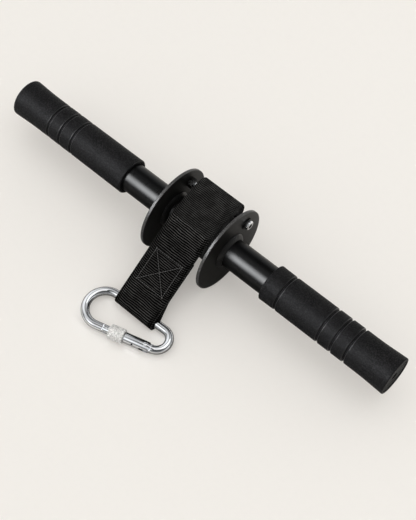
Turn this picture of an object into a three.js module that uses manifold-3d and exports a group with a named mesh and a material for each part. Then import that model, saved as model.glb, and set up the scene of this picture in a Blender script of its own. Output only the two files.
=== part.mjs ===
// Wrist roller: a steel bar with two rubber grips, a spool of two welded flanges with a bolt across them,
// webbing wound over bar and bolt, and a pear-shaped screw-gate carabiner in the webbing's sewn end loop.
// Millimetres, +Z up. X runs along the bar, the webbing leaves the spool towards -Y.
// The origin is at the middle of the bounding box, on the surface that the roller lies on.

import * as THREE from 'three';
import { mergeVertices } from 'three/addons/utils/BufferGeometryUtils.js';
import Module from 'manifold-3d';

const wasm = await Module();
wasm.setup();

// Clearances and cutting allowances
const seat_gap = 0.3;
const slip_gap = 0.2;
const cut_overrun = 1;

// Facets
const bar_sides = 48;
const grip_sides = 36;
const flange_sides = 72;
const small_sides = 24;
const rod_sides = 14;
const rod_steps = 60;
const arc_step = Math.PI / 12;
const rounding_slack = 1e-6;
const grip_round_steps = 4;
const wire_sides = 5;
const steps_per_curl = 8;

// Bar
const bar_radius = 16;
const bar_wall = 2;

// Grips
const grip_length = 153;
const grip_inner_end = 93;
const grip_wall = 3.8;
const grip_end_wall = 4.5;
const grip_collar_rise = 0.4;
const grip_flare_rise = 1.1;
const grip_flare_length = 26;
const grip_inner_round = 1.6;
const grip_outer_round = 4;
const grip_vent_radius = 3;
const grip_dish_radius = 13;
const grip_dish_depth = 0.7;
const groove_width = 2;
const groove_depth = 1.7;
const groove_lip = 0.8;
const groove_pitch = 16.2;
const groove_first = 72;
const groove_count = 3;
const collar_groove = 19.4;

// Flanges and their weld beads
const flange_radius = 47;
const flange_thickness = 3;
const flange_edge_round = 0.7;
const weld_leg = 4.4;
const weld_crown = 0.9;

// Bolt across the spool
const bolt_radius = 3;
const bolt_out = 26.3;
const bolt_up = 19.3;
const bolt_hole_slack = 0.3;
const bolt_head_radius = 5.3;
const bolt_head_height = 3.3;
const bolt_socket_across = 4;
const bolt_socket_depth = 2;
const crown_height_shares = [0.25, 0.65, 1];
const crown_radius_shares = [1, 0.85, 0.58];
const bolt_tip = 2.2;
const bolt_tip_chamfer = 0.8;
const washer_radius = 6.6;
const washer_thickness = 1.2;
const nut_across = 10;
const nut_height = 6;
const seat_nut_height = 4.6;
const nut_chamfer = 0.6;

// Webbing
const strap_width = 50;
const strap_thickness = 2.1;
const strap_layer_gap = 0.5;
const strap_side_gap = 10.5;
const strap_turns = 4;
const strap_tail_angle = 1.3;
const strap_sewn_start = 26;
const strap_sewn_length = 46;
const strap_end_setback = 0.15;
const neighbour_span = 6.3;

// Carabiner
const rod_radius = 4.5;
const spine_spare = 12.5;
const spine_middle = 4.8;
const spine_out = 95.5;
const big_bow_radius = 20;
const small_bow_radius = 12.4;
const carabiner_yaw = THREE.MathUtils.degToRad(2);
const hinge_setback = 6.5;

// Gate, its latch and hinge
const nose_straight = 8.2;
const gate_radius = 5.6;
const thread_radius = 5.3;
const thread_spare = 0.7;
const gate_nose_gap = 0.8;
const tongue_thickness = 4;
const nose_tongue_width = 7;
const nose_tongue_length = 5.8;
const nose_slot_length = 8;
const latch_pin_radius = 1.2;
const latch_pin_inset = 3.2;
const latch_notch_slack = 0.35;
const hinge_tongue_radius = 4.3;
const hinge_shoulder = 6.4;
const hinge_slot_length = 5.2;
const rivet_radius = 1.6;
const rivet_head_radius = 2.5;
const rivet_head_height = 0.6;
const gate_bore_radius = 3;
const gate_bore_end = 25.5;
const gate_vent_radius = 1.15;
const gate_vent_inset = 13;
const plunger_length = 6.2;
const plunger_tip_radius = 1.6;
const spring_wire_radius = 0.35;
const spring_radius = 2.2;
const spring_curls = 8;

// Lock sleeve
const sleeve_radius = 7.8;
const sleeve_length = 16;
const sleeve_setback = 6.9;
const sleeve_ribs = 32;
const rib_depth = 0.35;
const sleeve_chamfer = 0.9;

// Derived sizes and places
const floor = -flange_radius;
const bar_half_length = grip_inner_end + grip_length - grip_end_wall;
const grip_radius = bar_radius + grip_wall;
const grip_collar_radius = grip_radius + grip_collar_rise;
const grip_end_radius = grip_radius + grip_flare_rise;
const spool_half_gap = strap_width / 2 + strap_side_gap;
const strap_pitch = strap_thickness + strap_layer_gap;
const half_strap = strap_thickness / 2;
const bolt_centre = new THREE.Vector2(bolt_out, bolt_up);
const bolt_distance = bolt_centre.length();
const bolt_angle = bolt_centre.angle();
const spine_centre = new THREE.Vector2(-spine_out, floor + sleeve_radius);
const loop_slack = seat_gap + strap_width / 2 * Math.tan(carabiner_yaw);
const loop_radius = rod_radius + loop_slack + half_strap;
const spine_length = strap_width + spine_spare;
const gate_tilt = 2 * Math.atan((big_bow_radius - small_bow_radius) / spine_length);
const nose_reach = spine_length - hinge_setback - nose_straight;
const gate_reach = nose_reach - gate_nose_gap;
const thread_length = sleeve_setback + sleeve_length + thread_spare;

// Finishes
const bar_steel = { color: 0x111113, roughness: 0.28, metalness: 0.6 };
const plate_steel = { color: 0x1b1b1c, roughness: 0.4, metalness: 0.6 };
const grip_rubber = { color: 0x161617, roughness: 0.85, metalness: 0 };
const webbing = { color: 0x131314, roughness: 0.9, metalness: 0 };
const black_hardware = { color: 0x0c0c0d, roughness: 0.45, metalness: 0.5 };
const bright_steel = { color: 0xd4d6d8, roughness: 0.16, metalness: 1 };
const sleeve_alloy = { color: 0xb9bbbd, roughness: 0.45, metalness: 0.9 };

// Solid modelling helpers
function toSolid(geometry) {
  const bare = geometry.clone();
  bare.deleteAttribute('normal');
  bare.deleteAttribute('uv');
  const merged = mergeVertices(bare);
  const vertProperties = new Float32Array(merged.attributes.position.array);
  const triVerts = new Uint32Array(merged.index.array);
  return new wasm.Manifold(new wasm.Mesh({ numProp: 3, vertProperties, triVerts }));
}

function fromSolid(solid) {
  const cut = solid.getMesh();
  const geometry = new THREE.BufferGeometry();
  geometry.setAttribute('position', new THREE.BufferAttribute(new Float32Array(cut.vertProperties), 3));
  geometry.setIndex(Array.from(cut.triVerts));
  return geometry;
}

function cutAway(geometry, ...tools) {
  return fromSolid(tools.reduce((solid, tool) => solid.subtract(toSolid(tool)), toSolid(geometry)));
}

function joinUp(geometry, ...others) {
  return fromSolid(others.reduce((solid, other) => solid.add(toSolid(other)), toSolid(geometry)));
}

// A turned piece along X; the profile lists [place along X, radius] from the axis or round a closed wall.
function turned(profile, sides) {
  const points = profile.map(([along, radius]) => new THREE.Vector2(radius, along));
  return new THREE.LatheGeometry(points, sides).rotateZ(-Math.PI / 2);
}

// A rod along X between two places.
function rodAlongX(start, end, radius, sides = small_sides) {
  return new THREE.CylinderGeometry(radius, radius, end - start, sides)
    .rotateZ(-Math.PI / 2)
    .translate((start + end) / 2, 0, 0);
}

// A rod along Z through a plan position.
function rodAlongZ(x, y, half_height, radius, sides = small_sides) {
  return new THREE.CylinderGeometry(radius, radius, 2 * half_height, sides)
    .rotateX(Math.PI / 2)
    .translate(x, y, 0);
}

// A block between two corners.
function block(x0, x1, y0, y1, z0, z1) {
  return new THREE.BoxGeometry(x1 - x0, y1 - y0, z1 - z0)
    .translate((x0 + x1) / 2, (y0 + y1) / 2, (z0 + z1) / 2);
}

// A side profile in the YZ plane, carried along X over a width about the middle.
function alongBar(shape, width) {
  const turn = new THREE.Matrix4().set(0, 0, 1, 0, 1, 0, 0, 0, 0, 1, 0, 0, 0, 0, 0, 1);
  return new THREE.ExtrudeGeometry(shape, { depth: width, bevelEnabled: false })
    .translate(0, 0, -width / 2)
    .applyMatrix4(turn);
}

// A hexagon prism along X with a round hole.
function hexNut(height, hole_radius) {
  const corner = nut_across / Math.sqrt(3);
  const body = rodAlongX(0, height, corner, 6);
  const cone = turned([[0, 0], [0, corner - nut_chamfer], [nut_chamfer, corner],
    [height - nut_chamfer, corner], [height, corner - nut_chamfer], [height, 0]], small_sides);
  const rounded = fromSolid(toSolid(body).intersect(toSolid(cone)));
  return cutAway(rounded, rodAlongX(-cut_overrun, height + cut_overrun, hole_radius));
}

function piece(name, geometry, finish) {
  const mesh = new THREE.Mesh(geometry, new THREE.MeshStandardMaterial(finish));
  mesh.name = name;
  return mesh;
}

function placed(mesh, x, y, z) {
  mesh.position.set(x, y, z);
  return mesh;
}

// Points along an arc about a centre, in even steps that include both ends.
function arcPoints(centre, radius, from, to) {
  const steps = Math.max(1, Math.ceil(Math.abs(to - from) / arc_step - rounding_slack));
  return Array.from({ length: steps + 1 }, (_, i) => {
    const angle = from + (to - from) * i / steps;
    return new THREE.Vector2(centre.x + radius * Math.cos(angle), centre.y + radius * Math.sin(angle));
  });
}

// The outline of a strip of even thickness on both sides of its middle line.
function stripShape(middle, half) {
  const steps = middle.slice(1).map((point, i) => point.clone().sub(middle[i]).normalize());
  const sides = middle.map((point, i) => {
    const before = steps[Math.max(i - 1, 0)];
    const after = steps[Math.min(i, steps.length - 1)];
    const along = before.clone().add(after).normalize();
    return new THREE.Vector2(-along.y, along.x).multiplyScalar(half / along.dot(after));
  });
  const left = middle.map((point, i) => point.clone().add(sides[i]));
  const right = middle.map((point, i) => point.clone().sub(sides[i]));
  return new THREE.Shape([...right, ...left.reverse()]);
}

// The least free gap between stretches of a strip that lie apart along it.
function leastGap(middle, thickness, apart) {
  const along = [0];
  middle.slice(1).forEach((point, i) => along.push(along[i] + point.distanceTo(middle[i])));
  let least = Infinity;
  middle.forEach((point, i) => {
    for (let j = 1; j < middle.length; j++) {
      if (along[j - 1] - along[i] < apart && along[i] - along[j] < apart) continue;
      const line = new THREE.Line3(new THREE.Vector3(middle[j - 1].x, middle[j - 1].y, 0),
        new THREE.Vector3(middle[j].x, middle[j].y, 0));
      const here = new THREE.Vector3(point.x, point.y, 0);
      const nearest = line.closestPointToPoint(here, true, new THREE.Vector3());
      least = Math.min(least, nearest.distanceTo(here) - thickness);
    }
  });
  return least;
}

// Bar and grips
function barTube() {
  const inner = bar_radius - bar_wall;
  return turned([[-bar_half_length, inner], [-bar_half_length, bar_radius], [bar_half_length, bar_radius],
    [bar_half_length, inner], [-bar_half_length, inner]], bar_sides);
}

function groove(at) {
  const half = groove_width / 2;
  return [[at - half - groove_lip, grip_radius], [at - half, grip_radius - groove_depth],
    [at + half, grip_radius - groove_depth], [at + half + groove_lip, grip_radius]];
}

// One grip as it lies on the +X half of the bar, with grooves at the given places from its inner end.
function grip(groove_places) {
  const bore = bar_radius + slip_gap;
  const bore_end = bar_half_length - grip_inner_end + seat_gap;
  const flare_start = grip_length - grip_flare_length;
  const round_start = grip_length - grip_outer_round;
  const rounding = Array.from({ length: grip_round_steps }, (_, i) => {
    const angle = (i + 1) * Math.PI / (2 * grip_round_steps);
    return [round_start + grip_outer_round * Math.sin(angle),
      grip_end_radius - grip_outer_round * (1 - Math.cos(angle))];
  });
  const profile = [[0, bore], [0, grip_collar_radius - grip_inner_round],
    [grip_inner_round, grip_collar_radius],
    ...groove_places.flatMap(groove),
    [flare_start, grip_radius], [(flare_start + round_start) / 2, (grip_radius + grip_end_radius) / 2],
    [round_start, grip_end_radius], ...rounding,
    [grip_length, grip_dish_radius], [grip_length - grip_dish_depth, grip_dish_radius - grip_dish_depth],
    [grip_length - grip_dish_depth, grip_vent_radius], [bore_end, grip_vent_radius],
    [bore_end, bore], [0, bore]];
  return turned(profile.map(([along, radius]) => [grip_inner_end + along, radius]), grip_sides);
}

function grips() {
  const shared = Array.from({ length: groove_count }, (_, i) => groove_first + i * groove_pitch);
  const right = grip([collar_groove, ...shared]);
  const left = grip(shared).rotateZ(Math.PI);
  return [piece('grip_right', right, grip_rubber), piece('grip_left', left, grip_rubber)];
}

// Spool flanges with the hole for the bolt across them
function flange(side) {
  const inner = bar_radius + slip_gap;
  const soft = flange_edge_round;
  const wall = [[0, inner], [0, flange_radius - soft], [soft, flange_radius],
    [flange_thickness - soft, flange_radius], [flange_thickness, flange_radius - soft],
    [flange_thickness, inner], [0, inner]];
  const start = side > 0 ? spool_half_gap : -spool_half_gap - flange_thickness;
  const disc = turned(wall, flange_sides).translate(start, 0, 0);
  const hole = rodAlongX(start - cut_overrun, start + flange_thickness + cut_overrun,
    bolt_radius + bolt_hole_slack).translate(0, bolt_out, bolt_up);
  return cutAway(disc, hole);
}

// A weld bead round the bar, against the face at a place along X, on the side that faces along.
function weldBead(face, facing) {
  const root = bar_radius + slip_gap;
  const mid = weld_leg / 2;
  const bead = [[slip_gap, root], [slip_gap, root + weld_leg],
    [slip_gap + weld_crown, root + weld_leg], [mid + weld_crown, root + mid + weld_crown],
    [weld_leg, root + weld_crown], [weld_leg, root], [slip_gap, root]];
  const ring = turned(bead, bar_sides);
  return (facing > 0 ? ring : ring.rotateZ(Math.PI)).translate(face, 0, 0);
}

function spoolSteel() {
  const outer = spool_half_gap + flange_thickness;
  return [
    piece('flange_right', flange(1), plate_steel),
    piece('flange_left', flange(-1), plate_steel),
    piece('weld_right_outer', weldBead(outer, 1), plate_steel),
    piece('weld_right_inner', weldBead(spool_half_gap, -1), plate_steel),
    piece('weld_left_inner', weldBead(-spool_half_gap, 1), plate_steel),
    piece('weld_left_outer', weldBead(-outer, -1), plate_steel),
  ];
}

// The bolt, its washers, its lock nut and the black nut inside the left flange
function crossBolt() {
  const outer = spool_half_gap + flange_thickness;
  const washer_start = outer + slip_gap;
  const head_start = washer_start + washer_thickness + slip_gap;
  const head_end = head_start + bolt_head_height;
  const nut_start = -head_start - nut_height;
  const tip = nut_start - bolt_tip;
  const crown = crown_height_shares.map((share, i) => [head_start + share * bolt_head_height,
    crown_radius_shares[i] * bolt_head_radius]);
  const blank = turned([[tip, 0], [tip, bolt_radius - bolt_tip_chamfer],
    [tip + bolt_tip_chamfer, bolt_radius], [head_start, bolt_radius],
    [head_start, bolt_head_radius], ...crown, [head_end, 0]], small_sides);
  const socket = rodAlongX(head_end - bolt_socket_depth, head_end + cut_overrun,
    bolt_socket_across / Math.sqrt(3), 6);
  const hole = bolt_radius + slip_gap;
  const washer = () => turned([[0, hole], [0, washer_radius], [washer_thickness, washer_radius],
    [washer_thickness, hole], [0, hole]], small_sides);
  const parts = [
    piece('bolt_cross', cutAway(blank, socket), bright_steel),
    piece('bolt_washer_right', washer().translate(washer_start, 0, 0), black_hardware),
    piece('bolt_washer_left', washer().translate(-washer_start - washer_thickness, 0, 0), black_hardware),
    piece('bolt_nut', hexNut(nut_height, hole).translate(nut_start, 0, 0), bright_steel),
    piece('bolt_seat_nut', hexNut(seat_nut_height, hole).translate(slip_gap - spool_half_gap, 0, 0),
      black_hardware),
  ];
  return parts.map((part) => placed(part, 0, bolt_out, bolt_up));
}

// The angle from the bolt's direction to the normal of the line that touches both circles of a turn
function wrapAngle(bar_side, bolt_side) {
  return Math.acos((bar_side - bolt_side) / bolt_distance);
}

const bar_circle = (turn) => bar_radius + seat_gap + half_strap + turn * strap_pitch;
const bolt_circle = (turn) => bolt_radius + seat_gap + half_strap + turn * strap_pitch;
const bar_centre = new THREE.Vector2(0, 0);

// The normal angle of the free run, which touches the last turn and the end loop on their upper side
const run_angle = spine_centre.angle()
  - Math.acos((bar_circle(strap_turns - 1) - loop_radius) / spine_centre.length());
const run_normal = new THREE.Vector2(Math.cos(run_angle), Math.sin(run_angle));
const run_along = new THREE.Vector2(-run_normal.y, run_normal.x);
const run_start = run_normal.clone().multiplyScalar(bar_circle(strap_turns - 1));
const run_length = spine_centre.clone().sub(run_start).dot(run_along);

// The wound webbing: its tail hooks round the bolt, then each turn goes round bolt and bar together.
function windingMiddle() {
  const points = [];
  for (let turn = 0; turn < strap_turns; turn++) {
    const leave = bolt_angle + wrapAngle(bar_circle(turn), bolt_circle(turn));
    const arrive = turn === 0
      ? leave + strap_tail_angle - 2 * Math.PI
      : bolt_angle - wrapAngle(bar_circle(turn - 1), bolt_circle(turn));
    points.push(...arcPoints(bolt_centre, bolt_circle(turn), arrive, leave));
    const last = turn === strap_turns - 1;
    const under = bolt_angle + 2 * Math.PI - wrapAngle(bar_circle(turn), bolt_circle(turn + 1));
    const end = run_angle - strap_end_setback / bar_circle(turn);
    points.push(...arcPoints(bar_centre, bar_circle(turn), leave, last ? end : under));
  }
  return points;
}

function wovenStrip(middle) {
  return alongBar(stripShape(middle, half_strap), strap_width);
}

// The free run down to the loop round the carabiner's spine, and back under itself where it is sewn.
function runMiddle() {
  const place = (along, out) => run_start.clone().addScaledVector(run_along, along)
    .addScaledVector(run_normal, out);
  const lower = -strap_pitch;
  const sewn_end = run_length - strap_sewn_start;
  const reach = new THREE.Vector2(-strap_sewn_start, lower + loop_radius);
  const turn_back = Math.PI + Math.asin(reach.y / reach.length())
    + Math.asin(loop_radius / reach.length());
  const loop = arcPoints(spine_centre, loop_radius, run_angle, run_angle + turn_back);
  return [place(strap_end_setback, 0), ...loop, place(sewn_end, lower),
    place(sewn_end - strap_sewn_length, lower)];
}

function webbingPieces() {
  const winding = windingMiddle();
  const run = runMiddle();
  const least = leastGap(winding, strap_thickness, neighbour_span);
  console.log('least gap of the winding to itself, mm:', least.toFixed(2));
  return [
    piece('strap_winding', wovenStrip(winding), webbing),
    piece('strap_run', wovenStrip(run), webbing),
  ];
}

// A plan curve in the carabiner's own plane, read from a flat path
class PlanCurve extends THREE.Curve {
  constructor(path) {
    super();
    this.path = path;
  }

  getPoint(t, target = new THREE.Vector3()) {
    const point = this.path.getPoint(t);
    return target.set(point.x, point.y, 0);
  }
}

// The carabiner's own frame: X along the spine, -Y towards the gate, the rod's axes at height 0.
const half_spine = spine_length / 2;
const big_centre = new THREE.Vector2(-half_spine, -big_bow_radius);
const small_centre = new THREE.Vector2(half_spine, -small_bow_radius);
const gate_normal = new THREE.Vector2(Math.sin(gate_tilt), -Math.cos(gate_tilt));
const gate_line = new THREE.Vector2(Math.cos(gate_tilt), Math.sin(gate_tilt));
const big_tangent = big_centre.clone().addScaledVector(gate_normal, big_bow_radius);
const small_tangent = small_centre.clone().addScaledVector(gate_normal, small_bow_radius);
const hinge_centre = small_tangent.clone().addScaledVector(gate_line, -hinge_setback);

// Puts a piece drawn on the gate's own line, with the hinge at 0 and the nose towards -X, in its place.
function onGateLine(geometry) {
  return geometry.rotateZ(gate_tilt).translate(hinge_centre.x, hinge_centre.y, 0);
}

function carabinerRod() {
  const nose = hinge_centre.clone().addScaledVector(gate_line, -nose_reach);
  const heel = hinge_centre.clone().addScaledVector(gate_line, hinge_shoulder);
  const lowest = gate_tilt - Math.PI / 2;
  const path = new THREE.Path();
  path.moveTo(nose.x, nose.y);
  path.lineTo(big_tangent.x, big_tangent.y);
  path.absarc(big_centre.x, big_centre.y, big_bow_radius, lowest, Math.PI / 2, true);
  path.absarc(small_centre.x, small_centre.y, small_bow_radius, Math.PI / 2, lowest, true);
  path.lineTo(heel.x, heel.y);
  const section = new THREE.Shape().absarc(0, 0, rod_radius, 0, 2 * Math.PI, false);
  const rod = new THREE.ExtrudeGeometry(section, {
    extrudePath: new PlanCurve(path), steps: rod_steps, curveSegments: rod_sides / 2, bevelEnabled: false,
  });
  return joinUp(rod, onGateLine(noseTongue()), onGateLine(hingeTongue()));
}

// The flat tongue on the nose, with the notch that the latch pin leaves inwards.
function noseTongue() {
  const half = nose_tongue_width / 2;
  const tall = tongue_thickness / 2;
  const tip = -gate_reach + nose_tongue_length;
  const pin = -gate_reach + latch_pin_inset;
  const slot = latch_pin_radius + latch_notch_slack;
  const plate = block(-nose_reach - cut_overrun, tip, -half, half, -tall, tall);
  const notch = block(pin - slot, pin + slot, 0, half + cut_overrun, -tall - cut_overrun, tall + cut_overrun);
  const round = rodAlongZ(pin, 0, tall + cut_overrun, slot);
  return cutAway(plate, notch, round);
}

// The flat tongue at the heel, round about the rivet.
function hingeTongue() {
  const tall = tongue_thickness / 2;
  const end = hinge_shoulder + cut_overrun;
  const plate = block(0, end, -hinge_tongue_radius, hinge_tongue_radius, -tall, tall);
  const round = rodAlongZ(0, 0, tall, hinge_tongue_radius);
  return cutAway(joinUp(plate, round), rodAlongZ(0, 0, tall + cut_overrun, rivet_radius + slip_gap));
}

// The hollow gate: as thin as the rod at its nose, then threaded, and slotted at both ends for the tongues.
function gateTube() {
  const thread_start = -gate_reach + sleeve_setback - seat_gap;
  const thread_end = -gate_reach + thread_length;
  const body = turned([[-gate_reach, 0], [-gate_reach, rod_radius], [thread_start, rod_radius],
    [thread_start, thread_radius], [thread_end, thread_radius], [thread_end, gate_radius],
    [gate_radius, gate_radius], [gate_radius, 0]], small_sides);
  const tall = gate_radius + cut_overrun;
  const plan = joinUp(block(-gate_reach - cut_overrun, 0, -tall, tall, -tall, tall),
    rodAlongZ(0, 0, tall, gate_radius, 2 * small_sides));
  const shell = fromSolid(toSolid(body).intersect(toSolid(plan)));
  const slot = tongue_thickness / 2 + seat_gap;
  const pin_place = -gate_reach + latch_pin_inset;
  return cutAway(shell,
    block(-hinge_slot_length, tall, -tall, tall, -slot, slot),
    block(-gate_reach - cut_overrun, -gate_reach + nose_slot_length, -tall, tall, -slot, slot),
    rodAlongX(-gate_bore_end, 0, gate_bore_radius),
    rodAlongZ(0, 0, tall, rivet_radius + slip_gap),
    rodAlongZ(pin_place, 0, tall, latch_pin_radius + slip_gap / 2),
    rodAlongZ(0, 0, tall, gate_vent_radius, rod_sides).translate(0, 0, tall).rotateX(Math.PI / 2)
      .translate(-gate_vent_inset, 0, 0));
}

function gateSpring() {
  const start = -gate_bore_end + seat_gap + spring_wire_radius;
  const end = -hinge_slot_length - plunger_length - seat_gap - spring_wire_radius;
  class Helix extends THREE.Curve {
    getPoint(t, target = new THREE.Vector3()) {
      const angle = 2 * Math.PI * spring_curls * t;
      return target.set(start + (end - start) * t, spring_radius * Math.cos(angle),
        spring_radius * Math.sin(angle));
    }
  }
  const section = new THREE.Shape(Array.from({ length: wire_sides }, (_, i) => {
    const angle = 2 * Math.PI * i / wire_sides;
    return new THREE.Vector2(spring_wire_radius * Math.cos(angle), spring_wire_radius * Math.sin(angle));
  }));
  return new THREE.ExtrudeGeometry(section, {
    extrudePath: new Helix(), steps: steps_per_curl * spring_curls, bevelEnabled: false,
  });
}

function gatePlunger() {
  const tip = -hinge_tongue_radius - seat_gap;
  const back = -hinge_slot_length - plunger_length;
  const wide = gate_bore_radius - slip_gap;
  const shoulder = -hinge_slot_length - slip_gap;
  return turned([[back, 0], [back, wide], [shoulder, wide], [shoulder, plunger_tip_radius],
    [tip, plunger_tip_radius / 2], [tip, 0]], small_sides);
}

function rivet() {
  const half = gate_radius + slip_gap / 2;
  const head = half + rivet_head_height;
  const upper = [[half, rivet_radius], [half, rivet_head_radius], [head, rivet_head_radius / 2], [head, 0]];
  const lower = upper.map(([along, radius]) => [-along, radius]).reverse();
  return turned([...lower, ...upper], small_sides).rotateY(-Math.PI / 2);
}

function latchPin() {
  const half = rod_radius - slip_gap;
  const within = half * Math.cos(Math.asin(latch_pin_radius / rod_radius));
  return rodAlongZ(-gate_reach + latch_pin_inset, 0, within, latch_pin_radius, rod_sides);
}

// The knurled sleeve that screws along the gate's thread and over the nose.
function lockSleeve() {
  const start = -gate_reach + sleeve_setback;
  const end = start + sleeve_length;
  const outline = new THREE.Shape(Array.from({ length: 2 * sleeve_ribs }, (_, i) => {
    const radius = i % 2 ? sleeve_radius : sleeve_radius - rib_depth;
    const angle = Math.PI * (i + 0.5) / sleeve_ribs;
    return new THREE.Vector2(radius * Math.cos(angle), radius * Math.sin(angle));
  }));
  const ribbed = new THREE.ExtrudeGeometry(outline, { depth: sleeve_length, bevelEnabled: false })
    .rotateY(Math.PI / 2).translate(start, 0, 0);
  const soft = sleeve_chamfer;
  const envelope = turned([[start, 0], [start, sleeve_radius - soft], [start + soft, sleeve_radius],
    [end - soft, sleeve_radius], [end, sleeve_radius - soft], [end, 0]], 2 * sleeve_ribs);
  const trimmed = fromSolid(toSolid(ribbed).intersect(toSolid(envelope)));
  const bore = rodAlongX(start - cut_overrun, end + cut_overrun, thread_radius + seat_gap, bar_sides);
  return cutAway(trimmed, bore);
}

function carabiner() {
  const group = new THREE.Group();
  group.position.set(spine_middle, spine_centre.x + spine_middle * Math.tan(carabiner_yaw), spine_centre.y);
  group.rotation.z = carabiner_yaw;
  group.add(
    piece('carabiner_rod', carabinerRod(), bright_steel),
    piece('gate_rivet', onGateLine(rivet()), bright_steel),
    piece('gate_tube', onGateLine(gateTube()), bright_steel),
    piece('gate_latch_pin', onGateLine(latchPin()), bright_steel),
    piece('gate_spring', onGateLine(gateSpring()), bright_steel),
    piece('gate_plunger', onGateLine(gatePlunger()), bright_steel),
    piece('lock_sleeve', onGateLine(lockSleeve()), sleeve_alloy),
  );
  return group;
}

// The whole roller, stood on its lowest point with the origin at the middle of its bounding box
const roller = new THREE.Group();
roller.add(piece('bar_tube', barTube(), bar_steel), ...grips(), ...spoolSteel(), ...crossBolt(),
  ...webbingPieces(), carabiner());
const extent = new THREE.Box3().setFromObject(roller);
const middle = extent.getCenter(new THREE.Vector3());
roller.position.set(-middle.x, -middle.y, -extent.min.z);

export default roller;
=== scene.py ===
"""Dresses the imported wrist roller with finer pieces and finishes, and sets the floor, lights and camera.

Shapes are drawn in millimetres in the bar's own frame: X along the bar, the webbing leaves the spool
towards -Y, and the origin is on the bar's axis, midway between the flanges. The workbench turns them
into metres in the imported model's frame. The carabiner has a frame of its own, X along its spine and -Y
towards its gate.
"""

from __future__ import annotations

import logging
import math
from dataclasses import dataclass, field
from enum import Enum
from typing import Any, Iterable, Sequence

import bmesh
import bpy
from mathutils import Matrix, Vector

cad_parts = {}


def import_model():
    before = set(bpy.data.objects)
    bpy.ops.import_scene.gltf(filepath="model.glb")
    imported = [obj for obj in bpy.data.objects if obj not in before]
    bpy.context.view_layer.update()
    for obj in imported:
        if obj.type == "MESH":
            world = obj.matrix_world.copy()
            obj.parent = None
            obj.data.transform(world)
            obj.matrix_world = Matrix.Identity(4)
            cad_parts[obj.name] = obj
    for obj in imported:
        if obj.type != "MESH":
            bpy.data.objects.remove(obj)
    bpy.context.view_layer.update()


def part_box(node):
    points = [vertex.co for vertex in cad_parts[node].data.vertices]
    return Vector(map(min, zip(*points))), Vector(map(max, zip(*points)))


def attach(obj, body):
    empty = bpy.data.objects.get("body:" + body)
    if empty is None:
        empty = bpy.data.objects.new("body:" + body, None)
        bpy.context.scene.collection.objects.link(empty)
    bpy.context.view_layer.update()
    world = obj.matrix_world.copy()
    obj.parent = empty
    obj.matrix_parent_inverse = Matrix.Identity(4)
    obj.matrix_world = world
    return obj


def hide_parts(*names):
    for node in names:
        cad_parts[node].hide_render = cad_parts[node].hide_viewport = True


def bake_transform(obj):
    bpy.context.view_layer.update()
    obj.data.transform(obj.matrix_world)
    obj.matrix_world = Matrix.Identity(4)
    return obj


log = logging.getLogger("wrist_roller")

# A millimetre in metres, how near points count as one, and how far a tool reaches past what it cuts
MM = 0.001
TOUCH = 1e-6
PAST = 1.0

Z_TO_X = Matrix.Rotation(math.pi / 2, 4, "Y")

Pair = tuple[float, float]
Outline = list[Pair]
Corners = Sequence[tuple[float, float, float]]
Color = tuple[float, float, float, float]


class Body(Enum):
    """The bodies that pieces ride on."""

    ROLLER = "roller"
    STRAP = "strap"
    CARABINER = "carabiner"
    GATE = "gate"
    SLEEVE = "sleeve"


class Side(Enum):
    """The two ends of the bar, as the sign of X."""

    RIGHT = 1
    LEFT = -1


class Boolean(Enum):
    """What a tool does to the piece that it meets."""

    CUT = "DIFFERENCE"
    JOIN = "UNION"
    KEEP = "INTERSECT"


# Shapes


@dataclass
class Shape:
    """A mesh in millimetres: its points, its faces and named values for each point."""

    points: list[Vector] = field(default_factory=list)
    faces: list[tuple[int, ...]] = field(default_factory=list)
    values: dict[str, list[float]] = field(default_factory=dict)

    def moved(self, matrix: Matrix) -> Shape:
        """Puts the shape in another place.

        Args:
            matrix: The placement, in millimetres.

        Returns:
            The shape itself.
        """
        self.points = [matrix @ point for point in self.points]
        return self


def softened(corners: Corners, steps: int = 4, closed: bool = True) -> Outline:
    """Rounds the corners of an outline.

    Args:
        corners: Each corner's place and how far its rounding reaches along both edges.
        steps: The number of steps in a rounding.
        closed: Whether the outline closes on itself.

    Returns:
        The outline with every corner rounded.
    """
    outline: Outline = []
    count = len(corners)
    for index, (along, out, reach) in enumerate(corners):
        here = Vector((along, out))
        ends = not closed and index in (0, count - 1)
        if reach <= 0 or ends:
            outline.append((along, out))
            continue
        before = Vector(corners[index - 1][:2]) - here
        after = Vector(corners[(index + 1) % count][:2]) - here
        reach = min(reach, before.length / 2, after.length / 2)
        first = here + before.normalized() * reach
        last = here + after.normalized() * reach
        for step in range(steps + 1):
            share = step / steps
            bent = first * (1 - share) ** 2 + here * (2 * share * (1 - share)) + last * share**2
            outline.append((bent.x, bent.y))
    return outline


def turned(outline: Outline, sides: int) -> Shape:
    """Turns an outline about X into a closed shape.

    Args:
        outline: Places along X with their radii, from the axis to the axis or round a closed wall.
        sides: The number of faces round the axis.

    Returns:
        The turned shape.
    """
    shape = Shape()
    rings: list[list[int]] = []
    for along, radius in outline:
        start = len(shape.points)
        if radius < TOUCH:
            shape.points.append(Vector((along, 0, 0)))
            rings.append([start] * sides)
            continue
        for side in range(sides):
            angle = 2 * math.pi * side / sides
            shape.points.append(Vector((along, radius * math.cos(angle), radius * math.sin(angle))))
        rings.append(list(range(start, start + sides)))
    wall = min(radius for _, radius in outline) > TOUCH
    following = rings[1:] + (rings[:1] if wall else [])
    for ring, after in zip(rings, following):
        for side in range(sides):
            other = (side + 1) % sides
            face = dict.fromkeys((ring[side], ring[other], after[other], after[side]))
            if len(face) > 2:
                shape.faces.append(tuple(face))
    return shape


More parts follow.
